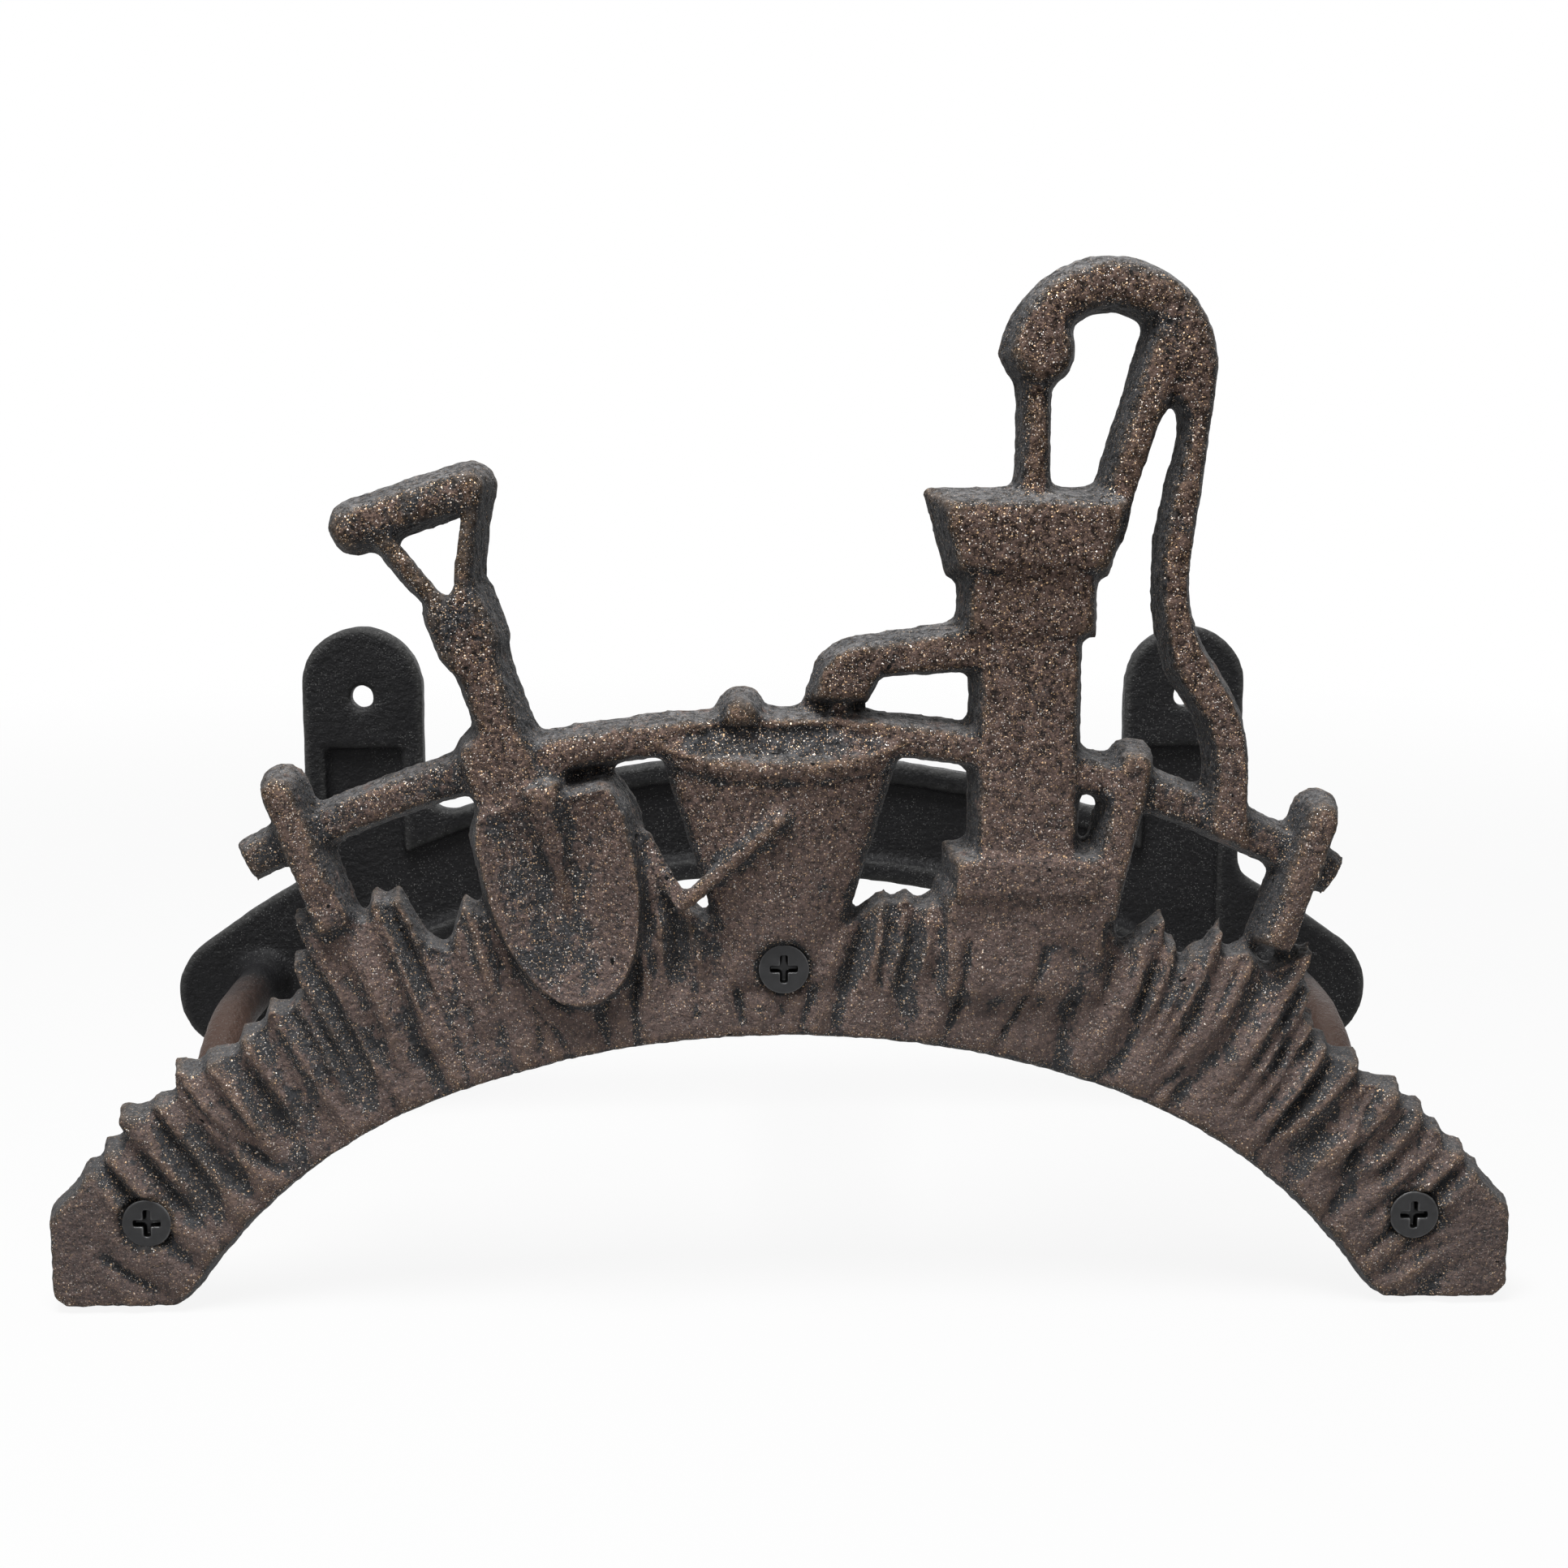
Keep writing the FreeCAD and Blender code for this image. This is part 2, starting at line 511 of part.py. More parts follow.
def arm(name, x, drop, root):
    """A round arm: out from the plate, a gentle dip, then level to the front plate."""
    fall = "(%s - %s)" % (drop, root)
    bend = "(arm_dip^2 + %s^2) / (4 * %s)" % (fall, fall)
    start = "-bracket_thickness / 2"
    dip_start = "-bracket_thickness - arm_straight"
    route = doc.addObject("Sketcher::SketchObject", "arm_route_" + name)
    draw(route, [
        (start, "-" + root),
        (dip_start, "-" + root, LEFT, bend),
        (dip_start + " - arm_dip / 2", "-(%s + %s) / 2" % (root, drop), RIGHT, bend),
        (dip_start + " - arm_dip", "-" + drop),
        ("-plate_standoff", "-" + drop),
    ], closed=False)
    turn = FreeCAD.Rotation(Vector(0, 1, 0), Vector(0, 0, 1), Vector(1, 0, 0), "XYZ")
    route.Placement = FreeCAD.Placement(Vector(value_of(x), 0, 0), turn)
    bind(route, "Placement.Base.x", x)
    section = doc.addObject("Part::Circle", "arm_section_" + name)
    bind(section, "Radius", "arm_diameter / 2")
    place(section, x, start, "-" + root, Vector(1, 0, 0), "90")
    bar = doc.addObject("Part::Sweep", "arm_" + name)
    bar.Sections = [section]
    bar.Spine = (route, ["Edge%d" % number for number in range(1, 5)])
    bar.Solid = True
    flare = cone("arm_flare_" + name, "arm_diameter / 2 + arm_flare", "arm_diameter / 2",
                 "flare_length + bracket_thickness / 2", x, start, "-" + root)
    return [bar, flare]


def wall_bracket():
    """The bracket as one casting, with a threaded hole in the end of each arm."""
    pieces = [bracket_plate()]
    holes = []
    for name, x, drop, seat, root in SCREWS:
        pieces.extend(arm(name, x, drop, root))
        length = "screw_length - %s + hole_spare" % seat
        holes.append(round_bar("arm_hole_" + name, "screw_diameter / 2 + thread_clearance", length,
                               x, "-plate_standoff + %s" % length, "-" + drop))
    solid = joined("bracket_blank", pieces)
    return cut("wall_bracket", solid, joined("arm_holes", holes))


def plate_screw(name, x, drop, seat):
    """One countersunk machine screw with a cross recess, its head facing the front."""
    taper = "(head_diameter - screw_diameter) / 2"
    body = doc.addObject("PartDesign::Body", "screw_" + name)
    half = sketch_in(body, "screw_half_" + name, "XY_Plane")
    draw(half, [
        ("0", "0"),
        ("head_diameter / 2", "0"),
        ("head_diameter / 2", "head_lip"),
        ("screw_diameter / 2", "head_lip + " + taper),
        ("screw_diameter / 2", "screw_length - tip_bevel"),
        ("screw_diameter / 2 - tip_bevel", "screw_length"),
        ("0", "screw_length"),
    ])
    turned = body.newObject("PartDesign::Revolution", "screw_turned_" + name)
    turned.Profile = half
    turned.ReferenceAxis = (half, ["V_Axis"])
    turned.Angle = 360
    cross = sketch_in(body, "screw_cross_" + name)
    tip = "cross_span / 2"
    bar = "cross_width / 2"
    draw(cross, [
        (tip, "-" + bar), (tip, bar), (bar, bar), (bar, tip), ("-" + bar, tip), ("-" + bar, bar),
        ("-" + tip, bar), ("-" + tip, "-" + bar), ("-" + bar, "-" + bar), ("-" + bar, "-" + tip),
        (bar, "-" + tip), (bar, "-" + bar),
    ])
    recess = body.newObject("PartDesign::Pocket", "screw_recess_" + name)
    recess.Profile = cross
    bind(recess, "Length", "cross_depth")
    place(body, x, "-plate_standoff - " + seat, "-" + drop)
    return body


def plate_screws():
    group = doc.addObject("Part::Compound", "plate_screws")
    group.Links = [plate_screw(name, x, drop, seat) for name, x, drop, seat, root in SCREWS]
    return group


def screw_seat(name, x, drop, seat):
    """What one countersunk hole takes out of the front plate."""
    wide = "head_diameter / 2 + head_clearance"
    narrow = "screw_diameter / 2 + shank_clearance"
    sink = "(%s - (%s))" % (wide, narrow)
    # the sloping wall is the one that the head rests on
    y = "-plate_standoff - (%s - head_lip + head_clearance)" % seat
    return joined("screw_seat_" + name, [
        round_bar("shank_hole_" + name, narrow, "2 * " + seat, x, "-plate_standoff + " + seat, "-" + drop),
        cone("countersink_" + name, narrow, wide, sink, x, y + " + " + sink, "-" + drop),
        round_bar("counterbore_" + name, wide, seat, x, y, "-" + drop),
    ])


def arch_rim():
    """Smooth lower edge of the plate: a three-centred arch that ends in two flat feet."""
    crown_end = "sqrt(crown_radius^2 - crown_half^2) - crown_radius - crown_drop"
    # the outer stretches run on from the middle one without a corner
    haunch_x = "crown_half * (1 - haunch_radius / crown_radius)"
    haunch_z = "(%s - haunch_radius * sqrt(crown_radius^2 - crown_half^2) / crown_radius)" % crown_end
    toe = "(foot_drop - foot_corner)"
    toe_x = "%s + sqrt(haunch_radius^2 - (%s + %s)^2)" % (haunch_x, haunch_z, toe)
    end_z = "turf_end_rise - foot_drop"
    strip = mirrored([
        ("crown_half", crown_end, RIGHT, "haunch_radius"),
        (toe_x, "-" + toe),
        (toe_x + " + foot_corner", "-foot_drop"),
        (toe_x + " + foot_shoulder", "-foot_drop"),
        (TURF_SPAN, end_z, LEFT, RIM_RADIUS),
    ])
    strip[-1] = strip[-1][:2] + (RIGHT, "crown_radius")
    right_foot = [
        (toe_x + " + foot_shoulder / 2", "-foot_drop"),
        ("foot_outer - foot_corner", "-foot_drop"),
        ("foot_outer", "-foot_drop + foot_corner"),
        ("foot_outer", "-foot_drop + foot_side"),
        ("foot_outer - foot_shoulder", "-foot_drop + foot_side + foot_shoulder"),
        (TURF_SPAN, end_z),
    ]
    left_foot = [("-(%s)" % x, z) for x, z in reversed(right_foot)]
    return [
        casting("arch_rim", [strip], "rim_depth"),
        casting("right_foot", [right_foot], "rim_depth"),
        casting("left_foot", [left_foot], "rim_depth"),
    ]


def turf():
    """Grass: a fan of ridged blades, pleated out of one sheet of metal with a flat back."""
    radius = value_of(TURF_RADIUS)
    middle = -radius - value_of("turf_drop")
    back = -value_of("plate_standoff")
    unit = value_of("blade_unit")
    end = value_of(TURF_END)
    spread = end / value_of("blade_spread")
    lines = []

    def spot(bearing, height, depth):
        angle = math.radians(bearing)
        reach = radius + height
        return Vector(reach * math.sin(angle), back - depth, middle + reach * math.cos(angle))

    def line(bearing, height, depth, fall):
        """Points down one ridge or valley: back foot, front foot, half way, front tip, back tip."""
        tall = height * unit
        slope = value_of("tip_slope")
        lines.append([
            spot(bearing, 0, 0),
            spot(bearing, 0, value_of("root_depth")),
            spot(bearing, tall / 2, depth),
            spot(bearing, tall - slope, depth - fall),
            spot(bearing, tall, 0),
        ])

    crest = value_of("crest_depth")
    valley = value_of("valley_depth")
    line(-end, BLADES[0][3], valley, 0)
    for tip_bearing, tip_height, notch_bearing, notch_height in BLADES:
        line(tip_bearing * spread, tip_height, crest, value_of("tip_fall"))
        line(notch_bearing * spread, notch_height, valley, 0)
    line(end, BLADES[-1][3], valley, 0)

    faces = []

    def facet(*corners):
        faces.append(Part.Face(Part.makePolygon(list(corners) + [corners[0]])))

    for near, far in zip(lines, lines[1:]):
        facet(near[0], near[1], far[1], far[0])
        for step in range(1, 4):
            facet(near[step], near[step + 1], far[step + 1])
            facet(near[step], far[step + 1], far[step])
    facet(*lines[0])
    facet(*lines[-1])
    facet(*([one[0] for one in lines] + [one[4] for one in reversed(lines)]))
    grass = doc.addObject("Part::Feature", "turf")
    grass.Shape = Part.Solid(Part.Shell(faces))
    return grass


def fence():
    """An arched rail on five leaning posts with round tops."""
    lower = "rail_radius - rail_height"
    middle = "rail_radius - rail_top"
    end_low = "rail_half * (%s) / rail_radius" % lower
    rail = [
        (end_low, "sqrt((%s)^2 - (%s)^2) - (%s)" % (lower, end_low, middle)),
        ("rail_half", "sqrt(rail_radius^2 - rail_half^2) - (%s)" % middle, LEFT, "rail_radius"),
    ]
    outline = mirrored(rail)
    outline[-1] = outline[-1][:2] + (RIGHT, lower)
    pieces = [casting("fence_rail", [outline], "rail_depth", "rail_shift", "0", "rail_lean")]
    half = "post_width / 2"
    for name, foot_x, foot_z, lean, height in POSTS:
        tall = name + "_height"
        post = [
            ("-" + half, "0"), (half, "0"), (half, tall, LEFT, half),
            ("0", "%s + %s" % (tall, half), LEFT, half), ("-" + half, tall),
        ]
        pieces.append(casting(name, [post], "post_depth", name + "_x", name + "_z", name + "_lean"))
    return pieces


def spade():
    """Spade with a forked grip bar, a hollow blade and the tongue that joins them."""
    shaft = "shaft_width / 2"
    collar = "collar_width / 2"
    collar_top = "collar_foot + collar_length"
    fork_top = "collar_foot + collar_length + fork_length"
    grip_half = "grip_height / 2"
    handle = mirrored([
        (shaft, "0"),
        (shaft, "collar_foot - 2 * (%s - %s)" % (collar, shaft)),
        (collar, "collar_foot"),
        (collar, collar_top + " - (%s - %s)" % (collar, shaft)),
        (shaft, collar_top),
        ("fork_width / 2", fork_top),
        ("fork_width / 2", fork_top + " + " + grip_half),
    ])
    window = [
        ("0", collar_top),
        ("fork_width / 2 - fork_strand", fork_top),
        ("-(fork_width / 2 - fork_strand)", fork_top),
    ]
    near = "grip_shift - (grip_length - grip_height) / 2"
    far = "grip_shift + (grip_length - grip_height) / 2"
    grip = [
        (near, fork_top),
        (far, fork_top, LEFT, grip_half),
        (far + " + " + grip_half, fork_top + " + " + grip_half, LEFT, grip_half),
        (far, fork_top + " + grip_height"),
        (near, fork_top + " + grip_height", LEFT, grip_half),
        (near + " - " + grip_half, fork_top + " + " + grip_half, LEFT, grip_half),
    ]
    pieces = [
        casting("spade_handle", [handle, window], "shaft_depth", "spade_x", "spade_z", "spade_lean"),
        casting("spade_grip", [grip], "grip_depth", "spade_x", "spade_z", "spade_lean"),
    ]

    def blade_outline(edge):
        """The blade's outline, drawn in by an edge of that width."""
        wide = "(blade_width / 2 - %s)" % edge
        nose = "(blade_nose - %s)" % edge
        nose_x = nose + " * sin(nose_turn)"
        nose_z = "-(blade_length - blade_nose) - %s * cos(nose_turn)" % nose
        return mirrored([
            ("0", "-blade_length + " + edge, LEFT, nose),
            (nose_x, nose_z, LEFT, "blade_flank - " + edge),
            (wide, "-blade_side"),
            (wide, "-blade_shoulder"),
            ("blade_neck / 2 - " + edge, "-" + edge),
        ])[:-1]

    blade = casting("spade_blade", [blade_outline("0")], "blade_depth", "blade_x", "blade_z", "blade_lean")
    scoop = sketch_in(blade, "spade_hollow_plan", offset="blade_depth")
    draw(scoop, blade_outline("blade_rim"))
    hollow = blade.newObject("PartDesign::Pocket", "spade_hollow")
    hollow.Profile = scoop
    bind(hollow, "Length", "blade_hollow")
    pieces.append(blade)
    tongue = [
        ("0", "-socket_length"), ("socket_width / 2", "socket_width / 2"),
        ("-socket_width / 2", "socket_width / 2"),
    ]
    pieces.append(casting("spade_socket", [tongue], "socket_depth", "blade_x", "blade_z", "blade_lean"))
    return pieces


def bucket():
    """Oval bucket with a tilted, hollow mouth, a rolled rim and a hanging bail."""
    rise = "(mouth_bulge + mouth_swell)"
    lean = "(bucket_mouth - bucket_foot) / bucket_height"
    lean_out = "(mouth_bulge - foot_bulge) / bucket_height"
    y = "-plate_standoff - bucket_core"

    def level(sketch, half_width, bulge, back):
        """One level of the bucket: a flat back, straight sides and a three-centred oval front."""
        corner = "(oval_round * %s)" % bulge
        across = "(%s - %s)" % (half_width, corner)
        along = "(%s - %s)" % (bulge, corner)
        behind = "((%s^2 - %s^2) / (2 * %s))" % (across, along, along)
        front = "(%s + %s)" % (bulge, behind)
        join_x = "%s + %s * %s / (%s - %s)" % (across, corner, across, front, corner)
        join_y = "-bucket_core - %s * %s / (%s - %s)" % (corner, behind, front, corner)
        draw(sketch, [
            (half_width, "-" + back),
            ("-" + half_width, "-" + back),
            ("-" + half_width, "-bucket_core", LEFT, corner),
            ("-(%s)" % join_x, join_y, LEFT, front),
            (join_x, join_y, LEFT, corner),
            (half_width, "-bucket_core"),
        ])

    def cone_between(name, swell, back):
        """The bucket's tapering form, grown or shrunk by an even amount."""
        body = doc.addObject("PartDesign::Body", name)
        top = sketch_in(body, name + "_top", "XY_Plane", "bucket_top + " + rise)
        level(top, "(bucket_mouth + %s * %s + %s)" % (lean, rise, swell),
              "(mouth_bulge + %s * %s + %s)" % (lean_out, rise, swell), back)
        foot = sketch_in(body, name + "_foot", "XY_Plane", "bucket_top - bucket_height")
        level(foot, "(bucket_foot + %s)" % swell, "(foot_bulge + %s)" % swell, back)
        wall = body.newObject("PartDesign::AdditiveLoft", name + "_loft")
        wall.Profile = top
        wall.Sections = [foot]
        wall.Ruled = True
        place(body, "bucket_x", "-plate_standoff", "0")
        return body

    def slab(name, top, thickness):
        """A tilted layer whose upper face lies above the mouth's plane by top."""
        half = "(2 * bucket_mouth)"
        layer = doc.addObject("Part::Box", name)
        bind(layer, "Length", "2 * " + half)
        bind(layer, "Width", "2 * " + half)
        bind(layer, "Height", thickness)
        under = "(%s - (%s))" % (top, thickness)
        place(layer, "bucket_x - " + half,
              "%s - %s * cos(mouth_tilt) - %s * sin(mouth_tilt)" % (y, half, under),
              "bucket_top - %s * sin(mouth_tilt) + %s * cos(mouth_tilt)" % (half, under),
              Vector(1, 0, 0), "mouth_tilt")
        return layer

    def overlap(name, one, other):
        common = doc.addObject("Part::Common", name)
        common.Base = one
        common.Tool = other
        return common

    body = overlap("bucket_body", cone_between("bucket_wall", "0", "0"),
                   slab("bucket_below", "0", "3 * bucket_height"))
    band = overlap("bucket_band", cone_between("bucket_swell", "mouth_swell", "0"),
                   slab("bucket_band_layer", "0", "mouth_band"))
    mouth = overlap("bucket_mouth_hollow", cone_between("bucket_inside", "-mouth_wall", "mouth_wall"),
                    slab("bucket_mouth_layer", "mouth_hollow", "2 * mouth_hollow"))
    return [cut("bucket", joined("bucket_solid", [body, band]), mouth), bail()]


def bail():
    """Wire handle that hangs down: from the bucket's front to a bend at its side, then back up."""
    radius = value_of("bail_radius")
    near_depth = value_of("bucket_core + mouth_bulge - bail_sunk")
    bend_depth = value_of("bucket_core + foot_bulge")
    far_depth = value_of("bucket_core")
    back = -value_of("plate_standoff")
    start_x = value_of("bucket_x")
    start_z = value_of("bucket_top - bail_ear_drop")
    bend_x = start_x - value_of("bail_reach")
    bend_z = start_z - value_of("bail_fall")
    places = [
        Vector(start_x, back - near_depth, start_z),
        Vector(bend_x, back - bend_depth, bend_z),
        Vector(bend_x - value_of("bail_side"), back - far_depth, bend_z + value_of("bail_rise")),
    ]
    wire = Part.makeSphere(radius, places[0])
    for start, end in zip(places, places[1:]):
        run = end - start
        wire = wire.fuse(Part.makeCylinder(radius, run.Length, start, run))
        wire = wire.fuse(Part.makeSphere(radius, end))
    handle = doc.addObject("Part::Feature", "bucket_bail")
    handle.Shape = wire.removeSplitter()
    return handle


def pump():
    """Hand pump: stepped base, column, hopper, spout, arch with rod and stay, and the curved lever."""
    def upright(name, foot, foot_width, top, top_width, depth):
        sides = mirrored([(foot_width + " / 2", foot), (top_width + " / 2", top)])
        return casting(name, [sides], depth, "pump_x")

    collar_top = "column_top + collar_rise"
    hopper_top = collar_top + " + hopper_height"
    base_foot = "-base_top - base_height"
    pieces = [
        upright("pump_plinth", base_foot + " - plinth_height", "plinth_width",
                base_foot, "plinth_width", "plinth_depth"),
        upright("pump_base", base_foot, "base_width", "-base_top", "base_width", "base_depth"),
        upright("pump_column", "-base_top", "column_width", "column_top", "column_width", "column_depth"),
        upright("pump_collar", "column_top", "upper_width", collar_top, "upper_width", "upper_depth"),
        upright("pump_hopper", collar_top, "hopper_foot", hopper_top, "hopper_mouth", "hopper_depth"),
    ]
    spout = [
        ("0", "spout_low"),
        ("0", "spout_high"),
        ("-spout_knee", "spout_high - spout_fall", LEFT, "spout_bend"),
        ("-spout_reach + nozzle_lean", "nozzle_mouth + nozzle_lip"),
        ("-spout_reach", "nozzle_mouth"),
        ("-spout_reach + nozzle_width", "nozzle_mouth"),
        ("-spout_reach + nozzle_width + 2 * nozzle_lean", "spout_low - spout_sag"),
    ]
    pieces.append(casting("pump_spout", [spout], "spout_depth", "pump_x"))
    web_x = "-spout_reach + web_width"
    web = [
        (web_x, "rail_top - rail_height"), (web_x + " + web_width", "rail_top - rail_height"),
        (web_x + " + web_width", "spout_low"), (web_x, "spout_low"),
    ]
    pieces.append(casting("spout_web", [web], "web_depth", "pump_x"))
    inner = "arch_outer - arch_width"
    arch = [
        ("arch_outer", "0", LEFT, "arch_outer"), ("0", "arch_outer", LEFT, "arch_outer"),
        ("-sqrt(arch_outer^2 - arch_lip^2)", "arch_lip"),
        ("-(%s)" % inner, "0", RIGHT, inner), ("0", inner, RIGHT, inner),
        (inner, "0"),
    ]
    pieces.append(casting("pump_arch", [arch], "arch_depth", "pump_x + arch_x", "arch_z"))
    pieces.append(cone("pump_knob", "knob_radius + knob_depth * tan(draft_angle)", "knob_radius",
                       "knob_depth", "pump_x + knob_x", "-plate_standoff", "knob_z"))
    rod = [
        ("-rod_width / 2", collar_top), ("rod_width / 2", collar_top),
        ("rod_width / 2", "knob_z"), ("-rod_width / 2", "knob_z"),
    ]
    pieces.append(casting("pump_rod", [rod], "rod_depth", "pump_x + rod_x"))
    stay = mirrored([("stay_width / 2", "0"), ("stay_width / 2", "stay_length")])
    pieces.append(casting("pump_stay", [stay], "arch_depth", "pump_x + stay_x", "stay_z", "stay_lean"))
    pieces.append(lever())
    return pieces


def lever():
    """Pump lever: straight down from the arch, out in a double bend, ending in a round hand piece."""
    half = "lever_width / 2"
    top_x = "lever_waist_x + (lever_top - lever_waist_z) * tan(lever_lean)"
    turn_x = "lever_waist_x + lever_bend * (cos(lever_lean) - cos(lever_sweep))"
    turn_z = "lever_waist_z - lever_bend * (sin(lever_lean) + sin(lever_sweep))"
    hand_x = "%s + lever_return * (1 - cos(lever_sweep))" % turn_x
    hand_z = "%s - lever_return * sin(lever_sweep)" % turn_z

    def edge(side):
        """The bar's left or right edge: its corners at the top, the waist, the turn and the hand."""
        out = side + half
        return [
            (top_x + out + " * cos(lever_lean)", "lever_top - (0%s) * sin(lever_lean)" % out),
            ("lever_waist_x" + out + " * cos(lever_lean)", "lever_waist_z - (0%s) * sin(lever_lean)" % out),
            (turn_x + out + " * cos(lever_sweep)", turn_z + out + " * sin(lever_sweep)"),
            (hand_x + out, hand_z),
        ]

    left_top, left_waist, left_turn, left_hand = edge(" - ")
    right_top, right_waist, right_turn, right_hand = edge(" + ")
    outline = [
        (left_hand[0], "-lever_end", LEFT, half),
        (hand_x, "-lever_end - " + half, LEFT, half),
        (right_hand[0], "-lever_end"),
        right_hand + (LEFT, "lever_return + " + half),
        right_turn + (RIGHT, "lever_bend - " + half),
        right_waist,
        right_top,
        left_top,
        left_waist + (LEFT, "lever_bend + " + half),
        left_turn + (RIGHT, "lever_return - " + half),
        left_hand,
    ]
    return casting("pump_lever", [outline], "lever_depth", "pump_x")


def front_plate():
    """The scene as one casting, with its three countersunk screw holes."""
    plate = joined("scene", arch_rim() + [turf()] + fence() + spade() + bucket() + pump())
    for name, x, drop, seat, root in SCREWS:
        plate = cut("plate_drilled_" + name, plate, screw_seat(name, x, drop, seat))
    plate.Label = "front_plate"
    return plate


def check_objects(parts):
    """Stop if anything failed to build, or if a part isn't made of the solids it should be."""
    for thing in doc.Objects:
        if "Invalid" in thing.State or "Error" in thing.State:
            raise RuntimeError("%s did not build: %s" % (thing.Name, thing.State))
    for part, solids in parts:
        shape = part.Shape
        if shape.isNull() or not shape.isValid() or len(shape.Solids) != solids:
            raise RuntimeError("%s isn't %d valid solids" % (part.Label, solids))


def main():
    parts = [(wall_bracket(), 1), (front_plate(), 1), (plate_screws(), len(SCREWS))]
    doc.recompute()
    check_objects(parts)
    os.makedirs("parts", exist_ok=True)
    for part, solids in parts:
        part.Shape.exportStep("parts/%s.step" % part.Label)


main()
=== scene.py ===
"""Looks of a cast-iron hose hanger: sand-cast front plate, black wall bracket, screws, stage and camera."""

import math

import bmesh
import bpy
import numpy as np
from bpy.props import FloatProperty, FloatVectorProperty, IntProperty, PointerProperty
from bpy.types import Operator, Panel, PropertyGroup
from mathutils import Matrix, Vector, noise


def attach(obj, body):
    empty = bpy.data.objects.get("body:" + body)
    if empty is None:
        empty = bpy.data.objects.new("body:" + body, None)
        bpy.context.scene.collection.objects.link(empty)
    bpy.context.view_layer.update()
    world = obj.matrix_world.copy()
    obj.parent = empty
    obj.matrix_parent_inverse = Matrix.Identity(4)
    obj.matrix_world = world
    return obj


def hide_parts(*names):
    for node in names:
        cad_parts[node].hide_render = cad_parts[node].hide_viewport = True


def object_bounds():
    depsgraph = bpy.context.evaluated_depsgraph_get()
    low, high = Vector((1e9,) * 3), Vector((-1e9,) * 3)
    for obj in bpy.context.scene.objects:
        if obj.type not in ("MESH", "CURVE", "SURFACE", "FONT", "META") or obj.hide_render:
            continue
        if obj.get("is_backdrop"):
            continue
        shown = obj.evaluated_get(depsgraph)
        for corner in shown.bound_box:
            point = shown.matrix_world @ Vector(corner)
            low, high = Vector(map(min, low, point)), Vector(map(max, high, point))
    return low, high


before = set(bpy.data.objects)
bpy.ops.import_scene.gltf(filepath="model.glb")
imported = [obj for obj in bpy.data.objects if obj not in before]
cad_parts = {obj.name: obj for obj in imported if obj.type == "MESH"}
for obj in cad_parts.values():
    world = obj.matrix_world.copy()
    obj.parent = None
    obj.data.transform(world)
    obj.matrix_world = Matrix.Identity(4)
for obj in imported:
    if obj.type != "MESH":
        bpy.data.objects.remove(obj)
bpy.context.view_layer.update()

bl_info = {
    "name": "Cast hose hanger",
    "version": (1, 0, 0),
    "blender": (4, 5, 0),
    "location": "View3D > Sidebar > Hanger",
    "description": "Cast and painted surfaces for a garden hose hanger, with its stage",
    "category": "Object",
}

MM = 0.001
WHITE = (1.0, 1.0, 1.0, 1.0)
# flat back of the front plate; depths below are measured forward from it, in metres like all sizes
PLATE_BACK_Y = -0.128
# across and level of the three screws, and the depth of each head's face
SCREW_PLACES = [(-0.1428, -0.1010, 0.0087), (0.0, -0.0426, 0.0100), (0.1428, -0.1010, 0.0087)]
# the four posts beside which the rail shows: foot across, foot level, lean in degrees
FENCE_POSTS = [
    (-0.0986, -0.0330, -20.0),
    (-0.0552, -0.0292, -18.0),
    (0.0695, -0.0310, 12.0),
    (0.1087, -0.0378, 18.0),
]


def length(label, note, default):
    return FloatProperty(name=label, description=note, default=default, unit="LENGTH", precision=5)


def share(label, note, default):
    return FloatProperty(name=label, description=note, default=default, min=0.0, max=1.0, subtype="FACTOR")


def colour(label, note, default):
    return FloatVectorProperty(name=label, description=note, default=default, size=3, min=0.0, max=1.0,
                               subtype="COLOR")


def power(label, note, default):
    return FloatProperty(name=label, description=note, default=default, unit="POWER")


def angle(label, note, degrees):
    return FloatProperty(name=label, description=note, default=math.radians(degrees), subtype="ANGLE")


class CastPlateSettings(PropertyGroup):
    """Surface of the front plate."""
    facet: length("Facet", "Spacing of the points on the casting", 0.98 * MM)
    rounding: IntProperty(name="Rounding", description="Passes that wear the edges round", default=3, min=0)
    lump_size: length("Lump size", "Width of the swellings left by the sand mould", 7.0 * MM)
    lump_height: length("Lump height", "Height of those swellings", 0.22 * MM)
    grain_size: length("Grain size", "Width of the grains of the sand mould", 1.7 * MM)
    grain_height: length("Grain height", "Height of those grains", 0.27 * MM)
    crease_pitch: length("Crease pitch", "Spacing of the creases in the grass", 4.6 * MM)
    crease_depth: length("Crease depth", "Depth of those creases", 1.5 * MM)
    clump_pitch: length("Clump pitch", "Width of a clump of grass at its foot", 36.0 * MM)
    clump_fan: share("Clump fan", "How far the blades of a clump spread towards their tips", 0.95)
    iron: colour("Iron", "Dark paint in the hollows and on the sides", (0.020, 0.0205, 0.022))
    # pale colour painted on faces that look up, as painted light from above
    lit_top: colour("Settled", "Pale dust that settles on faces that look up", (0.062, 0.061, 0.062))
    bronze: colour("Bronze", "Brown rubbed over the raised faces, high up", (0.053, 0.0355, 0.0295))
    umber: colour("Umber", "Lightest brown on the raised faces, low down", (0.147, 0.103, 0.090))
    gilt: colour("Gilt", "Warm flakes in the paint", (0.72, 0.47, 0.26))
    silver: colour("Silver", "Bright flakes in the paint", (0.80, 0.77, 0.74))


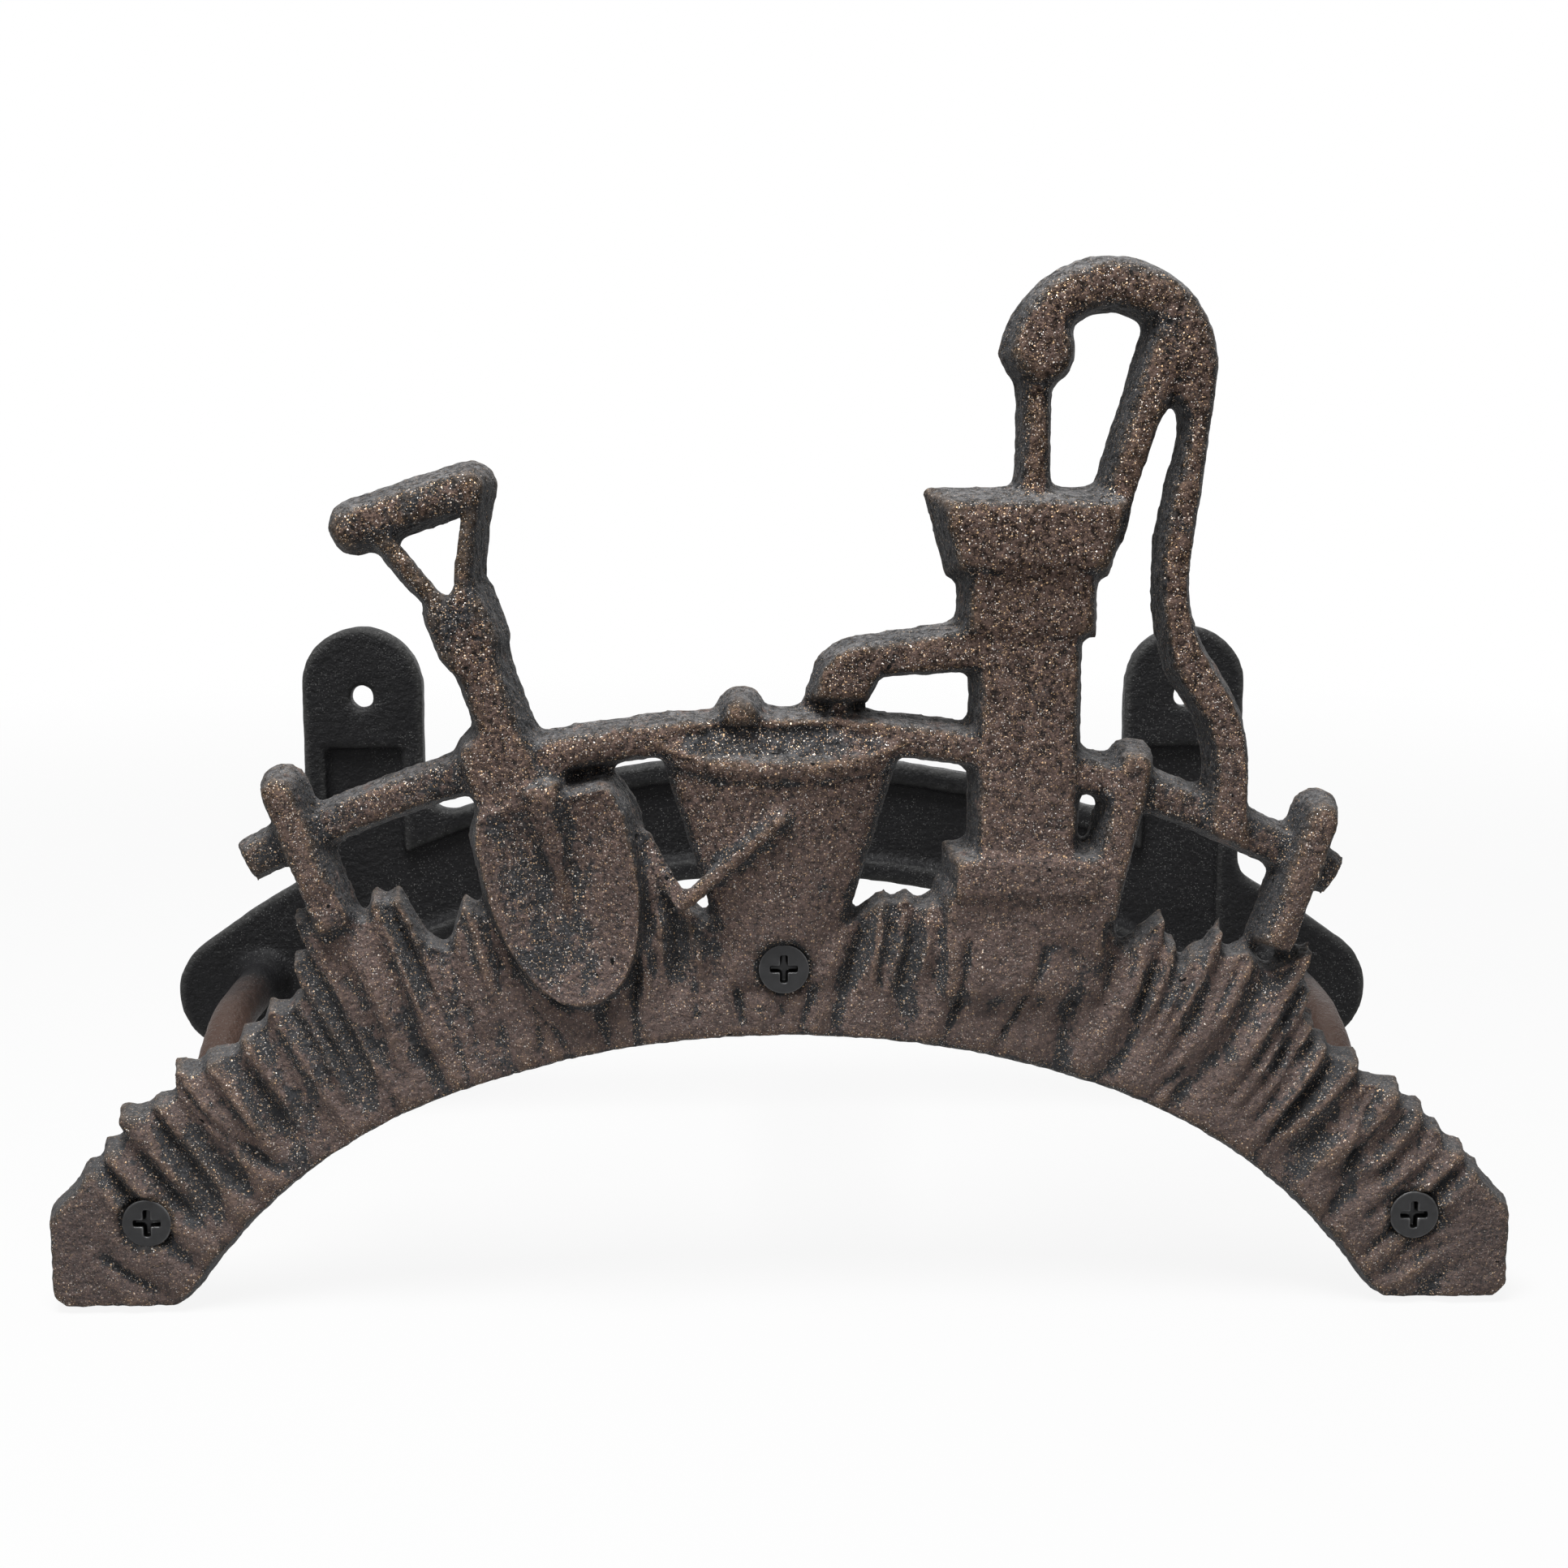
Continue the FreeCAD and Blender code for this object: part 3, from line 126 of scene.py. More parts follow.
class BracketSettings(PropertyGroup):
    """Surface of the wall bracket and its arms."""
    facet: length("Facet", "Spacing of the points on the casting", 1.0 * MM)
    rounding: IntProperty(name="Rounding", description="Passes that wear the edges round", default=4, min=0)
    lump_size: length("Lump size", "Width of the swellings left by the sand mould", 11.0 * MM)
    lump_height: length("Lump height", "Height of those swellings", 0.22 * MM)
    grain_size: length("Grain size", "Width of the grains of the sand mould", 2.4 * MM)
    grain_height: length("Grain height", "Height of those grains", 0.10 * MM)
    iron: colour("Iron", "Black paint", (0.0065, 0.0065, 0.007))
    overspray: colour("Overspray", "Brown dust on the arms near the front plate", (0.050, 0.030, 0.023))
    overspray_start: length("Overspray start", "Where the dust begins, along the arms", -0.012)
    overspray_end: length("Overspray end", "Where the dust is full, along the arms", -0.060)
    flake: colour("Flake", "Grey flakes in the paint", (0.15, 0.15, 0.146))


class ScrewSettings(PropertyGroup):
    """Surface of the three screws."""
    facet: length("Facet", "Spacing of the points on the screws", 0.24 * MM)
    rounding: IntProperty(name="Rounding", description="Passes that wear the edges round", default=3, min=0)
    oxide: colour("Oxide", "Black finish", (0.022, 0.022, 0.023))
    bare: colour("Bare", "Steel where the finish is rubbed off", (0.22, 0.22, 0.22))


class StageSettings(PropertyGroup):
    """Camera, floor and lamps."""
    azimuth: angle("Azimuth", "Camera to the left of the middle", 1.1)
    elevation: angle("Elevation", "Camera above the level", 10.0)
    distance: length("Distance", "Camera to the face of the plate", 0.483)
    aim: FloatVectorProperty(name="Aim", description="Point in the middle of the picture",
                             default=(0.0, -0.139, -0.001), subtype="XYZ", unit="LENGTH")
    lens: FloatProperty(name="Lens", description="Focal length in millimetres", default=51.24, unit="CAMERA")
    sensor: FloatProperty(name="Sensor", description="Width of the sensor in millimetres", default=36.0,
                          unit="CAMERA")
    floor: share("Floor", "How pale the floor is", 0.4)
    floor_half: length("Floor half", "Half the width of the floor", 6.0)
    floor_glow: share("Floor glow", "How far the floor looks white, whatever falls on it", 0.90)
    surround: share("Surround", "Light from all sides", 0.14)
    overhead: power("Overhead", "Lamp above", 26.0)
    key: power("Key", "Lamp in front on the left", 3.5)
    back: power("Back", "Lamp behind", 4.0)
    fill: power("Fill", "Lamp in front on the right", 2.0)


class Wire:
    """One output of a shader node. Arithmetic on it adds Math nodes."""

    def __init__(self, tree, socket=None):
        self.tree = tree
        self.socket = socket

    def node(self, kind, settings=None, inputs=None, output=0):
        """Any node: its settings are set first, then its sockets by value or by link."""
        made = self.tree.nodes.new(kind)
        for name, value in (settings or {}).items():
            setattr(made, name, value)
        for name, value in (inputs or {}).items():
            if isinstance(value, Wire):
                self.tree.links.new(value.socket, made.inputs[name])
            else:
                made.inputs[name].default_value = value
        return Wire(self.tree, made.outputs[output])

    def maths(self, operation, *values, clamp=False):
        return self.node("ShaderNodeMath", {"operation": operation, "use_clamp": clamp},
                         dict(enumerate(values)))

    def __add__(self, other):
        return self.maths("ADD", self, other)

    __radd__ = __add__

    def __mul__(self, other):
        return self.maths("MULTIPLY", self, other)

    __rmul__ = __mul__

    def __sub__(self, other):
        return self.maths("SUBTRACT", self, other)

    def __rsub__(self, other):
        return self.maths("SUBTRACT", other, self)

    def __lt__(self, other):
        return self.maths("LESS_THAN", self, other)

    def clamped(self):
        return self.maths("MULTIPLY", self, 1.0, clamp=True)

    def swing(self):
        """A cloudy noise moved to swing about 0."""
        return self - 0.5

    def between(self, first, last):
        """This value picks between two numbers."""
        return first + self * (last - first)

    def ramp(self, low, high):
        """0 below low, 1 above high, smooth between."""
        return self.node("ShaderNodeMapRange", {"interpolation_type": "SMOOTHSTEP"},
                         {"Value": self, "From Min": low, "From Max": high})

    def mix(self, first, second):
        """This value picks between two colours."""
        return self.node("ShaderNodeMix", {"data_type": "RGBA"}, {0: self, 6: first, 7: second}, 2)

    def tones(self, paint, darkest, lightest):
        """This value picks a tone of a colour. The two ends are shares of the colour."""
        return self.mix(shaded(paint, darkest), shaded(paint, lightest))


def rgba(values):
    return tuple(values) + (1.0,)


def shaded(paint, part):
    return rgba(part * channel for channel in paint)


def new_material(name):
    """A material, a wire to build on, and its shader node."""
    material = bpy.data.materials.new(name)
    material.use_nodes = True
    tree = material.node_tree
    shader = tree.nodes["Principled BSDF"]
    return material, Wire(tree), shader


def feed(start, shader, **sockets):
    """Links or sets the shader's sockets."""
    for name, value in sockets.items():
        socket = shader.inputs[name.replace("_", " ")]
        if isinstance(value, Wire):
            start.tree.links.new(value.socket, socket)
        else:
            socket.default_value = value


def object_place(start):
    return start.node("ShaderNodeTexCoord", output="Object")


def stored(start, name):
    """A number that the casting keeps for each point."""
    return start.node("ShaderNodeAttribute", {"attribute_name": name}, output="Fac")


def axis(start, place, name):
    return start.node("ShaderNodeSeparateXYZ", None, {"Vector": place}, name)


def bumped(start, height, distance, strength=1.0):
    return start.node("ShaderNodeBump", None, {"Strength": strength, "Distance": distance, "Height": height})


def grain(start, place, size, detail=3.0, roughness=0.55):
    """Cloudy noise with features of about that size."""
    return start.node("ShaderNodeTexNoise", None, {
        "Vector": place, "Scale": 1.0 / size, "Detail": detail, "Roughness": roughness})


def flakes(start, place, pitch, radius, kept):
    """Specks on a jittered grid: a mask, and a random number for each speck."""
    settings = {"feature": "F1"}
    sockets = {"Vector": place, "Scale": 1.0 / pitch, "Randomness": 1.0}
    near = start.node("ShaderNodeTexVoronoi", settings, sockets, "Distance")
    chance = start.node("ShaderNodeTexVoronoi", settings, sockets, "Color")
    draw = start.node("ShaderNodeSeparateColor", None, {"Color": chance}, "Red")
    tint = start.node("ShaderNodeSeparateColor", None, {"Color": chance}, "Green")
    return (near < radius) * (draw < kept), tint


class BronzePaint:
    """Front plate's paint: widths of its grains, spans of its masks, and how much each one counts."""
    peel_size = 1.7 * MM
    sand_size = 0.9 * MM
    fine_size = 0.35 * MM
    patch_size = 10.0 * MM
    streak_size = 3.2 * MM
    pit_size = 2.6 * MM
    # streaks are drawn out along the upright
    streak_draw = (1.0, 1.0, 0.35)
    # levels between which the paint turns from fine to coarse, and how far out the feet get painted shade,
    # where the light falls off
    coarse_levels = (-0.07, 0.05)
    feet_shade_reach = (0.115, 0.165)
    feet_painted_shade = 0.13
    # contrast of the sand and of the peel, low down and high up; the peel's contrast paints its valleys
    # darker and its tips lighter, as painted shade and highlight
    sand_span = (0.36, 0.64)
    sand_contrast = (0.45, 1.0)
    peel_light_and_shade = (0.4, 3.0)
    # darkest and lightest tone of each colour
    iron_tones = (0.35, 1.75)
    charcoal_tones = (0.9, 2.5)
    lit_top_tones = (0.25, 1.75)
    bronze_tones = (0.22, 1.8)
    umber_darkest = 1.2
    # painted shade: the hollows go darker than the paint itself, to this share of the iron
    hollow_shade_tone = 0.22
    # painted top light, paler on faces that look up, lies in patches
    lit_top_span = (0.32, 0.6)
    lit_top_cover = (0.35, 1.0)
    # what the brown follows
    brown_rubbed = 0.95
    brown_patch = 2.2
    brown_streak = 1.5
    brown_sand = 0.9
    brown_start = 0.05
    brown_hollow = 0.6
    brown_levels = (0.0, 0.10)
    brown_level = 0.22
    brown_span = (0.26, 0.68)
    # how far that painted shade covers the hollows
    hollow_shade_cover = 0.6
    # edges rubbed through to a mixture of bronze and gilt: wear, and also painted glints along the edges
    wear_and_glint_sand = 1.8
    worn_start = 0.3
    worn_cover = 0.4
    wear_and_glint_bronze = 0.7
    wear_and_glint_gilt = 0.16
    # flakes: pitch, radius as a share of the pitch, share that is kept; the grid is stirred first
    stir_scale = 2600.0
    stir_reach = 0.35 * MM
    small_flakes = (0.28 * MM, 0.36, 0.28)
    large_flakes = (0.56 * MM, 0.36, 0.17)
    # how thick the flakes lie
    thick_high = 0.75
    thick_patch = 0.45
    thick_patch_span = (0.42, 0.68)
    # flakes lie thicker on the edges, partly as painted glints there
    thick_edge = 0.5
    thick_dark = 0.5
    thick_start = 0.26
    thick_hollow = 0.4
    # flakes thin out on faces that don't look forward, so the sides read darker: painted shade on the sides
    side_shade_thinning = (0.25, 1.0)
    flake_light = (0.3, 1.0)
    silver_span = (0.45, 0.9)
    pit_span = (0.77, 0.80)
    pit_shade_colour = (0.004, 0.004, 0.004, 1.0)
    # heights of the relief, and the finish
    relief_depth = 1.3 * MM
    peel_relief = 0.55
    sand_relief = 0.35
    fine_relief = 0.15
    flake_relief = 0.1
    roughness = 0.58
    flake_polish = 0.25
    hollow_dullness = 0.12
    flake_metal = 0.5
    specular = 0.06


def cast_bronze(settings):
    """Dark iron paint, brown rubbed over the high faces, and bright flakes all over. Painted shade darkens
    the hollows, the pits, the feet and the sides, and painted light pales the faces that look up.
    """
    look = BronzePaint
    material, start, shader = new_material("bronzed_cast_iron")
    place = object_place(start)
    rubbed = stored(start, "rubbed")
    edge = stored(start, "edge")
    hollow = stored(start, "hollow")
    dust = stored(start, "dust")
    front = stored(start, "front")
    up = axis(start, place, "Z")
    coarse = up.ramp(*look.coarse_levels)
    feet_shade = start.maths("ABSOLUTE", axis(start, place, "X")).ramp(*look.feet_shade_reach)
    peel = grain(start, place, look.peel_size, 2.0)
    sand = grain(start, place, look.sand_size)
    fine = grain(start, place, look.fine_size, 2.0)
    patch = grain(start, place, look.patch_size, 5.0, 0.65)
    drawn = start.node("ShaderNodeVectorMath", {"operation": "MULTIPLY"}, {0: place, 1: look.streak_draw})
    streak = grain(start, drawn, look.streak_size)

    shade = (sand * 0.5 + fine * 0.5).ramp(*look.sand_span).swing() * coarse.between(*look.sand_contrast)
    # painted shade and highlight: the peel's valleys darker and its tips lighter, following its bumps
    shade = shade + peel.swing() * coarse.between(*look.peel_light_and_shade) + 0.5
    # painted shade: the paint darkens out towards the feet, where the light falls off
    shade = (shade - feet_shade * look.feet_painted_shade).clamped()
    charcoal = shade.tones(settings.iron, *look.charcoal_tones)
    iron = coarse.mix(charcoal, shade.tones(settings.iron, *look.iron_tones))
    # painted light: faces that look up are painted paler, in patches, where the lamp above falls
    lit_top_share = dust * patch.ramp(*look.lit_top_span).between(*look.lit_top_cover)
    iron = lit_top_share.mix(iron, shade.tones(settings.lit_top, *look.lit_top_tones))
    umber = shade.mix(shaded(settings.iron, look.umber_darkest), rgba(settings.umber))
    bronze = coarse.mix(umber, shade.tones(settings.bronze, *look.bronze_tones))

    brown = rubbed * look.brown_rubbed + patch.swing() * look.brown_patch
    brown = brown + streak.swing() * look.brown_streak + sand.swing() * look.brown_sand + look.brown_start
    brown = brown - hollow * look.brown_hollow - up.ramp(*look.brown_levels) * look.brown_level
    brown = brown.ramp(*look.brown_span)
    paint = brown.mix(iron, bronze)
    # painted shade in the hollows and in the gaps round the screw heads
    paint = (hollow * look.hollow_shade_cover).mix(paint, shaded(settings.iron, look.hollow_shade_tone))
    # wear and painted glints: the edges are paler, in bronze and gilt
    worn = (edge * (sand * look.wear_and_glint_sand - look.worn_start)).clamped() * look.worn_cover
    pairs = zip(settings.bronze, settings.gilt)
    paint = worn.mix(paint, rgba(look.wear_and_glint_bronze * dull + look.wear_and_glint_gilt * warm for dull, warm in pairs))

    stir = {"Vector": place, "Scale": look.stir_scale, "Detail": 1.0}
    stirred = start.node("ShaderNodeVectorMath", {"operation": "MULTIPLY_ADD"}, {
        0: start.node("ShaderNodeTexNoise", None, stir, "Color"), 1: (look.stir_reach,) * 3, 2: place})
    small, small_tint = flakes(start, stirred, *look.small_flakes)
    large, large_tint = flakes(start, stirred, *look.large_flakes)
    thick = coarse * look.thick_high + patch.ramp(*look.thick_patch_span) * look.thick_patch
    thick = thick + edge * look.thick_edge + (1.0 - brown) * look.thick_dark + look.thick_start
    thick = (thick - hollow * look.thick_hollow).clamped() * front.between(*look.side_shade_thinning)
    bright = small * small_tint.between(*look.flake_light) + large * large_tint
    bright = bright.clamped() * thick
    flake = small_tint.ramp(*look.silver_span).mix(rgba(settings.gilt), rgba(settings.silver))
    paint = bright.mix(paint, flake)
    # painted shade: small pits, not in the shape, painted near-black
    pit_shade = grain(start, place, look.pit_size, 1.0).ramp(*look.pit_span)
    paint = pit_shade.mix(paint, look.pit_shade_colour)

    relief = peel * look.peel_relief + sand * look.sand_relief + fine * look.fine_relief
    relief = relief + bright * look.flake_relief
    feed(start, shader, Base_Color=paint, Metallic=bright * look.flake_metal,
         Roughness=look.roughness - bright * look.flake_polish + hollow * look.hollow_dullness,
         Normal=bumped(start, relief, look.relief_depth), Specular_IOR_Level=look.specular)
    return material


class BlackPaint:
    """Wall bracket's paint: widths of its grains, spans of its masks, and how much each one counts."""
    sand_size = 1.2 * MM
    fine_size = 0.5 * MM
    patch_size = 18.0 * MM
    iron_tones = (0.5, 1.9)
    overspray_patch = 0.9
    overspray_sand = 0.4
    overspray_span = (0.15, 0.9)
    overspray_cover = 0.85
    edge_wear_and_highlight_tone = 0.35
    # flakes: pitch, radius as a share of the pitch, share that is kept
    flakes = (0.42 * MM, 0.34, 0.30)
    flake_patch_span = (0.3, 0.6)
    flake_cover = 0.7
    relief_depth = 0.9 * MM
    relief_strength = 0.9
    sand_relief = 0.7
    fine_relief = 0.3
    roughness = 0.50
    patch_roughness = 0.3
    flake_polish = 0.15
    specular = 0.10


def black_iron(settings):
    """Black paint over sand-cast iron, with brown dust on the arms near the plate."""
    look = BlackPaint
    material, start, shader = new_material("black_cast_iron")
    place = object_place(start)
    edge = stored(start, "edge")
    sand = grain(start, place, look.sand_size)
    fine = grain(start, place, look.fine_size, 2.0)
    patch = grain(start, place, look.patch_size, 4.0, 0.6)
    reach = settings.overspray_end - settings.overspray_start
    dust = (axis(start, place, "Y") - settings.overspray_start) * (1.0 / reach)
    dust = dust + patch.swing() * look.overspray_patch + sand.swing() * look.overspray_sand
    dust = dust.ramp(*look.overspray_span)
    paint = (sand * 0.5 + patch * 0.5).tones(settings.iron, *look.iron_tones)
    paint = (dust * look.overspray_cover).mix(paint, rgba(settings.overspray))
    # paler edges: worn paint, and also a painted rim highlight
    paint = (edge * sand).clamped().mix(paint, shaded(settings.flake, look.edge_wear_and_highlight_tone))
    spots, tint = flakes(start, place, *look.flakes)
    shown = spots * tint * patch.ramp(*look.flake_patch_span) * look.flake_cover
    paint = shown.mix(paint, rgba(settings.flake))
    relief = sand * look.sand_relief + fine * look.fine_relief
    feed(start, shader, Base_Color=paint,
         Roughness=look.roughness + patch.swing() * look.patch_roughness - spots * look.flake_polish,
         Normal=bumped(start, relief, look.relief_depth, look.relief_strength),
         Specular_IOR_Level=look.specular)
    return material


class SteelFinish:
    """Finish of the screws: widths of its grains, and how much each mask counts."""
    cloud_size = 2.2 * MM
    fine_size = 0.3 * MM
    oxide_tones = (0.6, 1.5)
    worn_cloud = 1.8
    worn_start = 0.2
    worn_cover = 0.7
    recess_shade_colour = (0.002, 0.002, 0.002, 1.0)
    relief_depth = 0.08 * MM
    relief_strength = 0.35
    roughness = 0.36
    cloud_roughness = 0.25
    metal = 0.55


def black_steel(settings):
    """Blackened steel, rubbed bright along its edges, and painted near-black in its recesses as their shade.
    """
    look = SteelFinish
    material, start, shader = new_material("blackened_steel")
    place = object_place(start)
    edge = stored(start, "edge")
    hollow = stored(start, "hollow")
    cloud = grain(start, place, look.cloud_size, 4.0, 0.6)
    fine = grain(start, place, look.fine_size, 2.0)
    paint = cloud.tones(settings.oxide, *look.oxide_tones)
    worn = (edge * (cloud * look.worn_cloud - look.worn_start)).clamped() * look.worn_cover
    paint = worn.mix(paint, rgba(settings.bare))
    # painted shade: the recesses of the heads go near-black
    paint = hollow.mix(paint, look.recess_shade_colour)
    feed(start, shader, Base_Color=paint, Metallic=look.metal,
         Roughness=look.roughness + cloud.swing() * look.cloud_roughness,
         Normal=bumped(start, fine, look.relief_depth, look.relief_strength))
    return material


class LeverSlot:
    """Slot between the pump's stay and its lever, and the lever's slim side below it."""
    # level, left side, right side in front, right side at the back
    rows = [
        (0.0215, 0.0760, 0.0853, 0.0831),
        (0.0255, 0.0755, 0.0847, 0.0823),
        (0.0310, 0.0750, 0.0833, 0.0807),
        (0.0370, 0.0745, 0.0824, 0.0798),
        (0.0430, 0.0740, 0.0819, 0.0794),
        (0.0485, 0.0727, 0.0819, 0.0796),
        (0.0540, 0.0733, 0.0823, 0.0803),
        (0.0600, 0.0745, 0.0835, 0.0814),
        (0.0657, 0.0761, 0.0850, 0.0827),
        (0.0712, 0.0779, 0.0864, 0.0840),
        (0.0770, 0.0799, 0.0866, 0.0847),
    ]
    tip_x = 0.0834
    tip_front = 0.0822
    tip_back = 0.0796
    # depths of its outlines: in front of the lever, where it starts to narrow, and behind the plate
    depth_front = 0.022
    depth_face = 0.0125
    depth_back = -0.001


def slot_outline(depth, at_back):
    """Outline of the slot at one depth: up its right side, round its tip and down its left side."""
    y = PLATE_BACK_Y - depth
    tip = LeverSlot.tip_back if at_back else LeverSlot.tip_front
    right = [(back if at_back else front, y, level) for level, _, front, back in LeverSlot.rows]
    left = [(side, y, level) for level, side, _, _ in reversed(LeverSlot.rows)]
    return right + [(LeverSlot.tip_x, y, tip)] + left


def lever_slot():
    """Wedge that opens the slot, narrower at the back."""
    outlines = [
        slot_outline(LeverSlot.depth_front, False),
        slot_outline(LeverSlot.depth_face, False),
        slot_outline(LeverSlot.depth_back, True),
    ]
    shell = bmesh.new()
    rings = [[shell.verts.new(point) for point in outline] for outline in outlines]
    for near, far in zip(rings, rings[1:]):
        for this in range(len(near)):
            after = (this + 1) % len(near)
            shell.faces.new((near[this], near[after], far[after], far[this]))
    shell.faces.new(rings[0])
    shell.faces.new(rings[-1])
    bmesh.ops.recalc_face_normals(shell, faces=shell.faces)
    mesh = bpy.data.meshes.new("lever_slot")
    shell.to_mesh(mesh)
    shell.free()
    wedge = bpy.data.objects.new("lever_slot", mesh)
    bpy.context.collection.objects.link(wedge)
    return wedge


class Casting:
    """A closed copy of a CAD node in small even facets, whose points can be moved."""
    # CAD points nearer than this are one point
    join_within = 0.002 * MM
    # how a seed shifts the noise along the three axes
    seed_steps = (1.0, 2.7, -1.3)

    def __init__(self, node, name, facet, wedge=None):
        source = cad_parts[node]
        shell = bmesh.new()
        shell.from_mesh(source.data)
        bmesh.ops.remove_doubles(shell, verts=shell.verts, dist=self.join_within)
        rough = bpy.data.meshes.new(name + "_start")
        shell.to_mesh(rough)
        shell.free()
        self.piece = bpy.data.objects.new(name, rough)
        bpy.context.collection.objects.link(self.piece)
        if wedge:
            opened = self.piece.modifiers.new("opened", "BOOLEAN")
            opened.operation = "DIFFERENCE"
            opened.object = wedge
        even = self.piece.modifiers.new("even_facets", "REMESH")
        even.mode = "VOXEL"
        even.voxel_size = facet
        graph = bpy.context.evaluated_depsgraph_get()
        mesh = bpy.data.meshes.new_from_object(self.piece.evaluated_get(graph))
        self.piece.modifiers.clear()
        self.piece.data = mesh
        mesh.name = name
        mesh.materials.clear()
        bpy.data.meshes.remove(rough)
        if wedge:
            # the wedge goes with its mesh
            bpy.data.meshes.remove(wedge.data)
        if not mesh.vertices:
            raise RuntimeError("no surface came out of " + node)
        self.mesh = mesh
        self.points = self.read("vertices", "co", 3)
        self.edges = self.read("edges", "vertices", 2, np.int32)
        ends = self.edges.ravel()
        self.neighbours = np.maximum(np.bincount(ends, minlength=len(self.points)), 1)

    def read(self, part, name, width, kind=np.float64):
        items = getattr(self.mesh, part)
        values = np.empty(len(items) * width, kind)
        items.foreach_get(name, values)
        return values.reshape(-1, width)

    def average(self, values):
        """Mean over the neighbours of each point, for one number or three."""
        table = values.reshape(len(values), -1)
        first, second = self.edges[:, 0], self.edges[:, 1]
        total = np.empty_like(table)
        for column in range(table.shape[1]):
            one = table[:, column]
            total[:, column] = (np.bincount(first, one[second], len(one))
                                + np.bincount(second, one[first], len(one)))
        return (total / self.neighbours[:, None]).reshape(values.shape)

    def softened(self, values, passes, pull=0.5):
        for _ in range(passes):
            values = values + pull * (self.average(values) - values)
        return values

    def normals(self):
        self.write()
        return self.read("vertices", "normal", 3)

    def write(self):
        self.mesh.vertices.foreach_set("co", self.points.ravel())
        self.mesh.update()

    def keep(self, name, values):
        """Stores one number a point, for the material."""
        layer = self.mesh.attributes.new(name, "FLOAT", "POINT")
        layer.data.foreach_set("value", np.clip(values, 0.0, 1.0).astype(np.float32))

    def roughen(self, size, height, seed):
        """Moves the points in and out by cloudy noise."""
        shift = Vector([step * seed for step in self.seed_steps])
        swell = np.array([noise.noise(Vector(point) / size + shift) for point in self.points])
        self.points = self.points + self.normals() * (swell * height)[:, None]

    def relief(self, passes):
        """How far each point stands above its surroundings."""
        around = self.softened(self.points, passes)
        return np.einsum("ij,ij->i", self.points - around, self.normals())

    def finish(self, node, material):
        self.write()
        self.mesh.shade_smooth()
        self.mesh.materials.append(material)
        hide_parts(node)
        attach(self.piece, "root")


def rise(values, low, high):
    """0 below low, 1 above high, smooth between."""
    part = np.clip((values - low) / (high - low), 0.0, 1.0)
    return part * part * (3.0 - 2.0 * part)


def fall(values, low, high):
    """1 below low, 0 above high, smooth between."""
    return 1.0 - rise(values, low, high)


class Blade:
    """Spade's blade: its place and outline, the dish in it, and the tongue below the shaft."""
    x = -0.052
    z = -0.0047
    lean = math.radians(12.0)
    half_width = 0.0164
    # below its straight part the blade curves in to its tip
    straight = 0.017
    tail = 0.0295
    tail_curve = 2.4
    # dish: its middle and half its length, depth at its rim, and how far it sags
    middle = 0.021
    half_length = 0.0255
    smallest_half = 1.0 * MM
    dish_depth = 0.0140
    dish_sag = 0.0036
    # tongue: it gets narrower and lower along its length, and rounds off to its sides
    tongue_length = 0.027
    tongue_half = 0.0048
    tongue_narrowing = 0.0036
    tongue_depth = 0.0156
    tongue_fall = 0.0048
    tongue_round = 0.0026
    # where the new floor takes over from the flat one
    rim_blend = (0.0, 0.10)
    floor_depths = (0.0085, 0.0092)
    top_blend = (-0.003, 0.002)
    tongue_blend = (-0.0004, 0.0008)
    # the right half of the dish keeps less of the dark paint
    right_half = (0.0, 0.010)
    right_loss = 0.6


def along_spade(x, z):
    """Place across and along the spade's blade, and half its width there."""
    across = (x - Blade.x) * math.cos(Blade.lean) + (z - Blade.z) * math.sin(Blade.lean)
    along = (x - Blade.x) * math.sin(Blade.lean) - (z - Blade.z) * math.cos(Blade.lean)
    tail = np.clip(along - Blade.straight, 0.0, Blade.tail) / Blade.tail
    return across, along, Blade.half_width * np.sqrt(np.clip(1.0 - tail ** Blade.tail_curve, 0.0, 1.0))


def dish_spade(casting):
    """Makes the blade's sunk floor a dish with a tapering tongue. Returns where the dish is dark."""
    x, y, z = casting.points.T
    across, along, half = along_spade(x, z)
    depth = PLATE_BACK_Y - y
    off_side = np.abs(across) / np.maximum(half, Blade.smallest_half)
    off_middle = np.abs(along - Blade.middle) / Blade.half_length
    outward = np.clip(np.maximum(off_side, off_middle), 0.0, 1.0)
    dish = Blade.dish_depth - Blade.dish_sag * (1.0 - outward ** 2.0)
    taper = np.clip(along / Blade.tongue_length, 0.0, 1.0)
    tongue_half = Blade.tongue_half - Blade.tongue_narrowing * taper
    tongue = Blade.tongue_depth - Blade.tongue_fall * taper
    tongue = tongue - Blade.tongue_round * (across / tongue_half) ** 2
    shaped = np.maximum(dish, tongue)
    inside = rise(1.0 - outward, *Blade.rim_blend) * rise(depth, *Blade.floor_depths)
    inside = inside * rise(along, *Blade.top_blend)
    casting.points[:, 1] -= inside * (shaped - depth)
    scoop = inside * rise(dish - tongue, *Blade.tongue_blend) * (1.0 - outward ** 4.0)
    return scoop * (1.0 - Blade.right_loss * rise(across, *Blade.right_half))


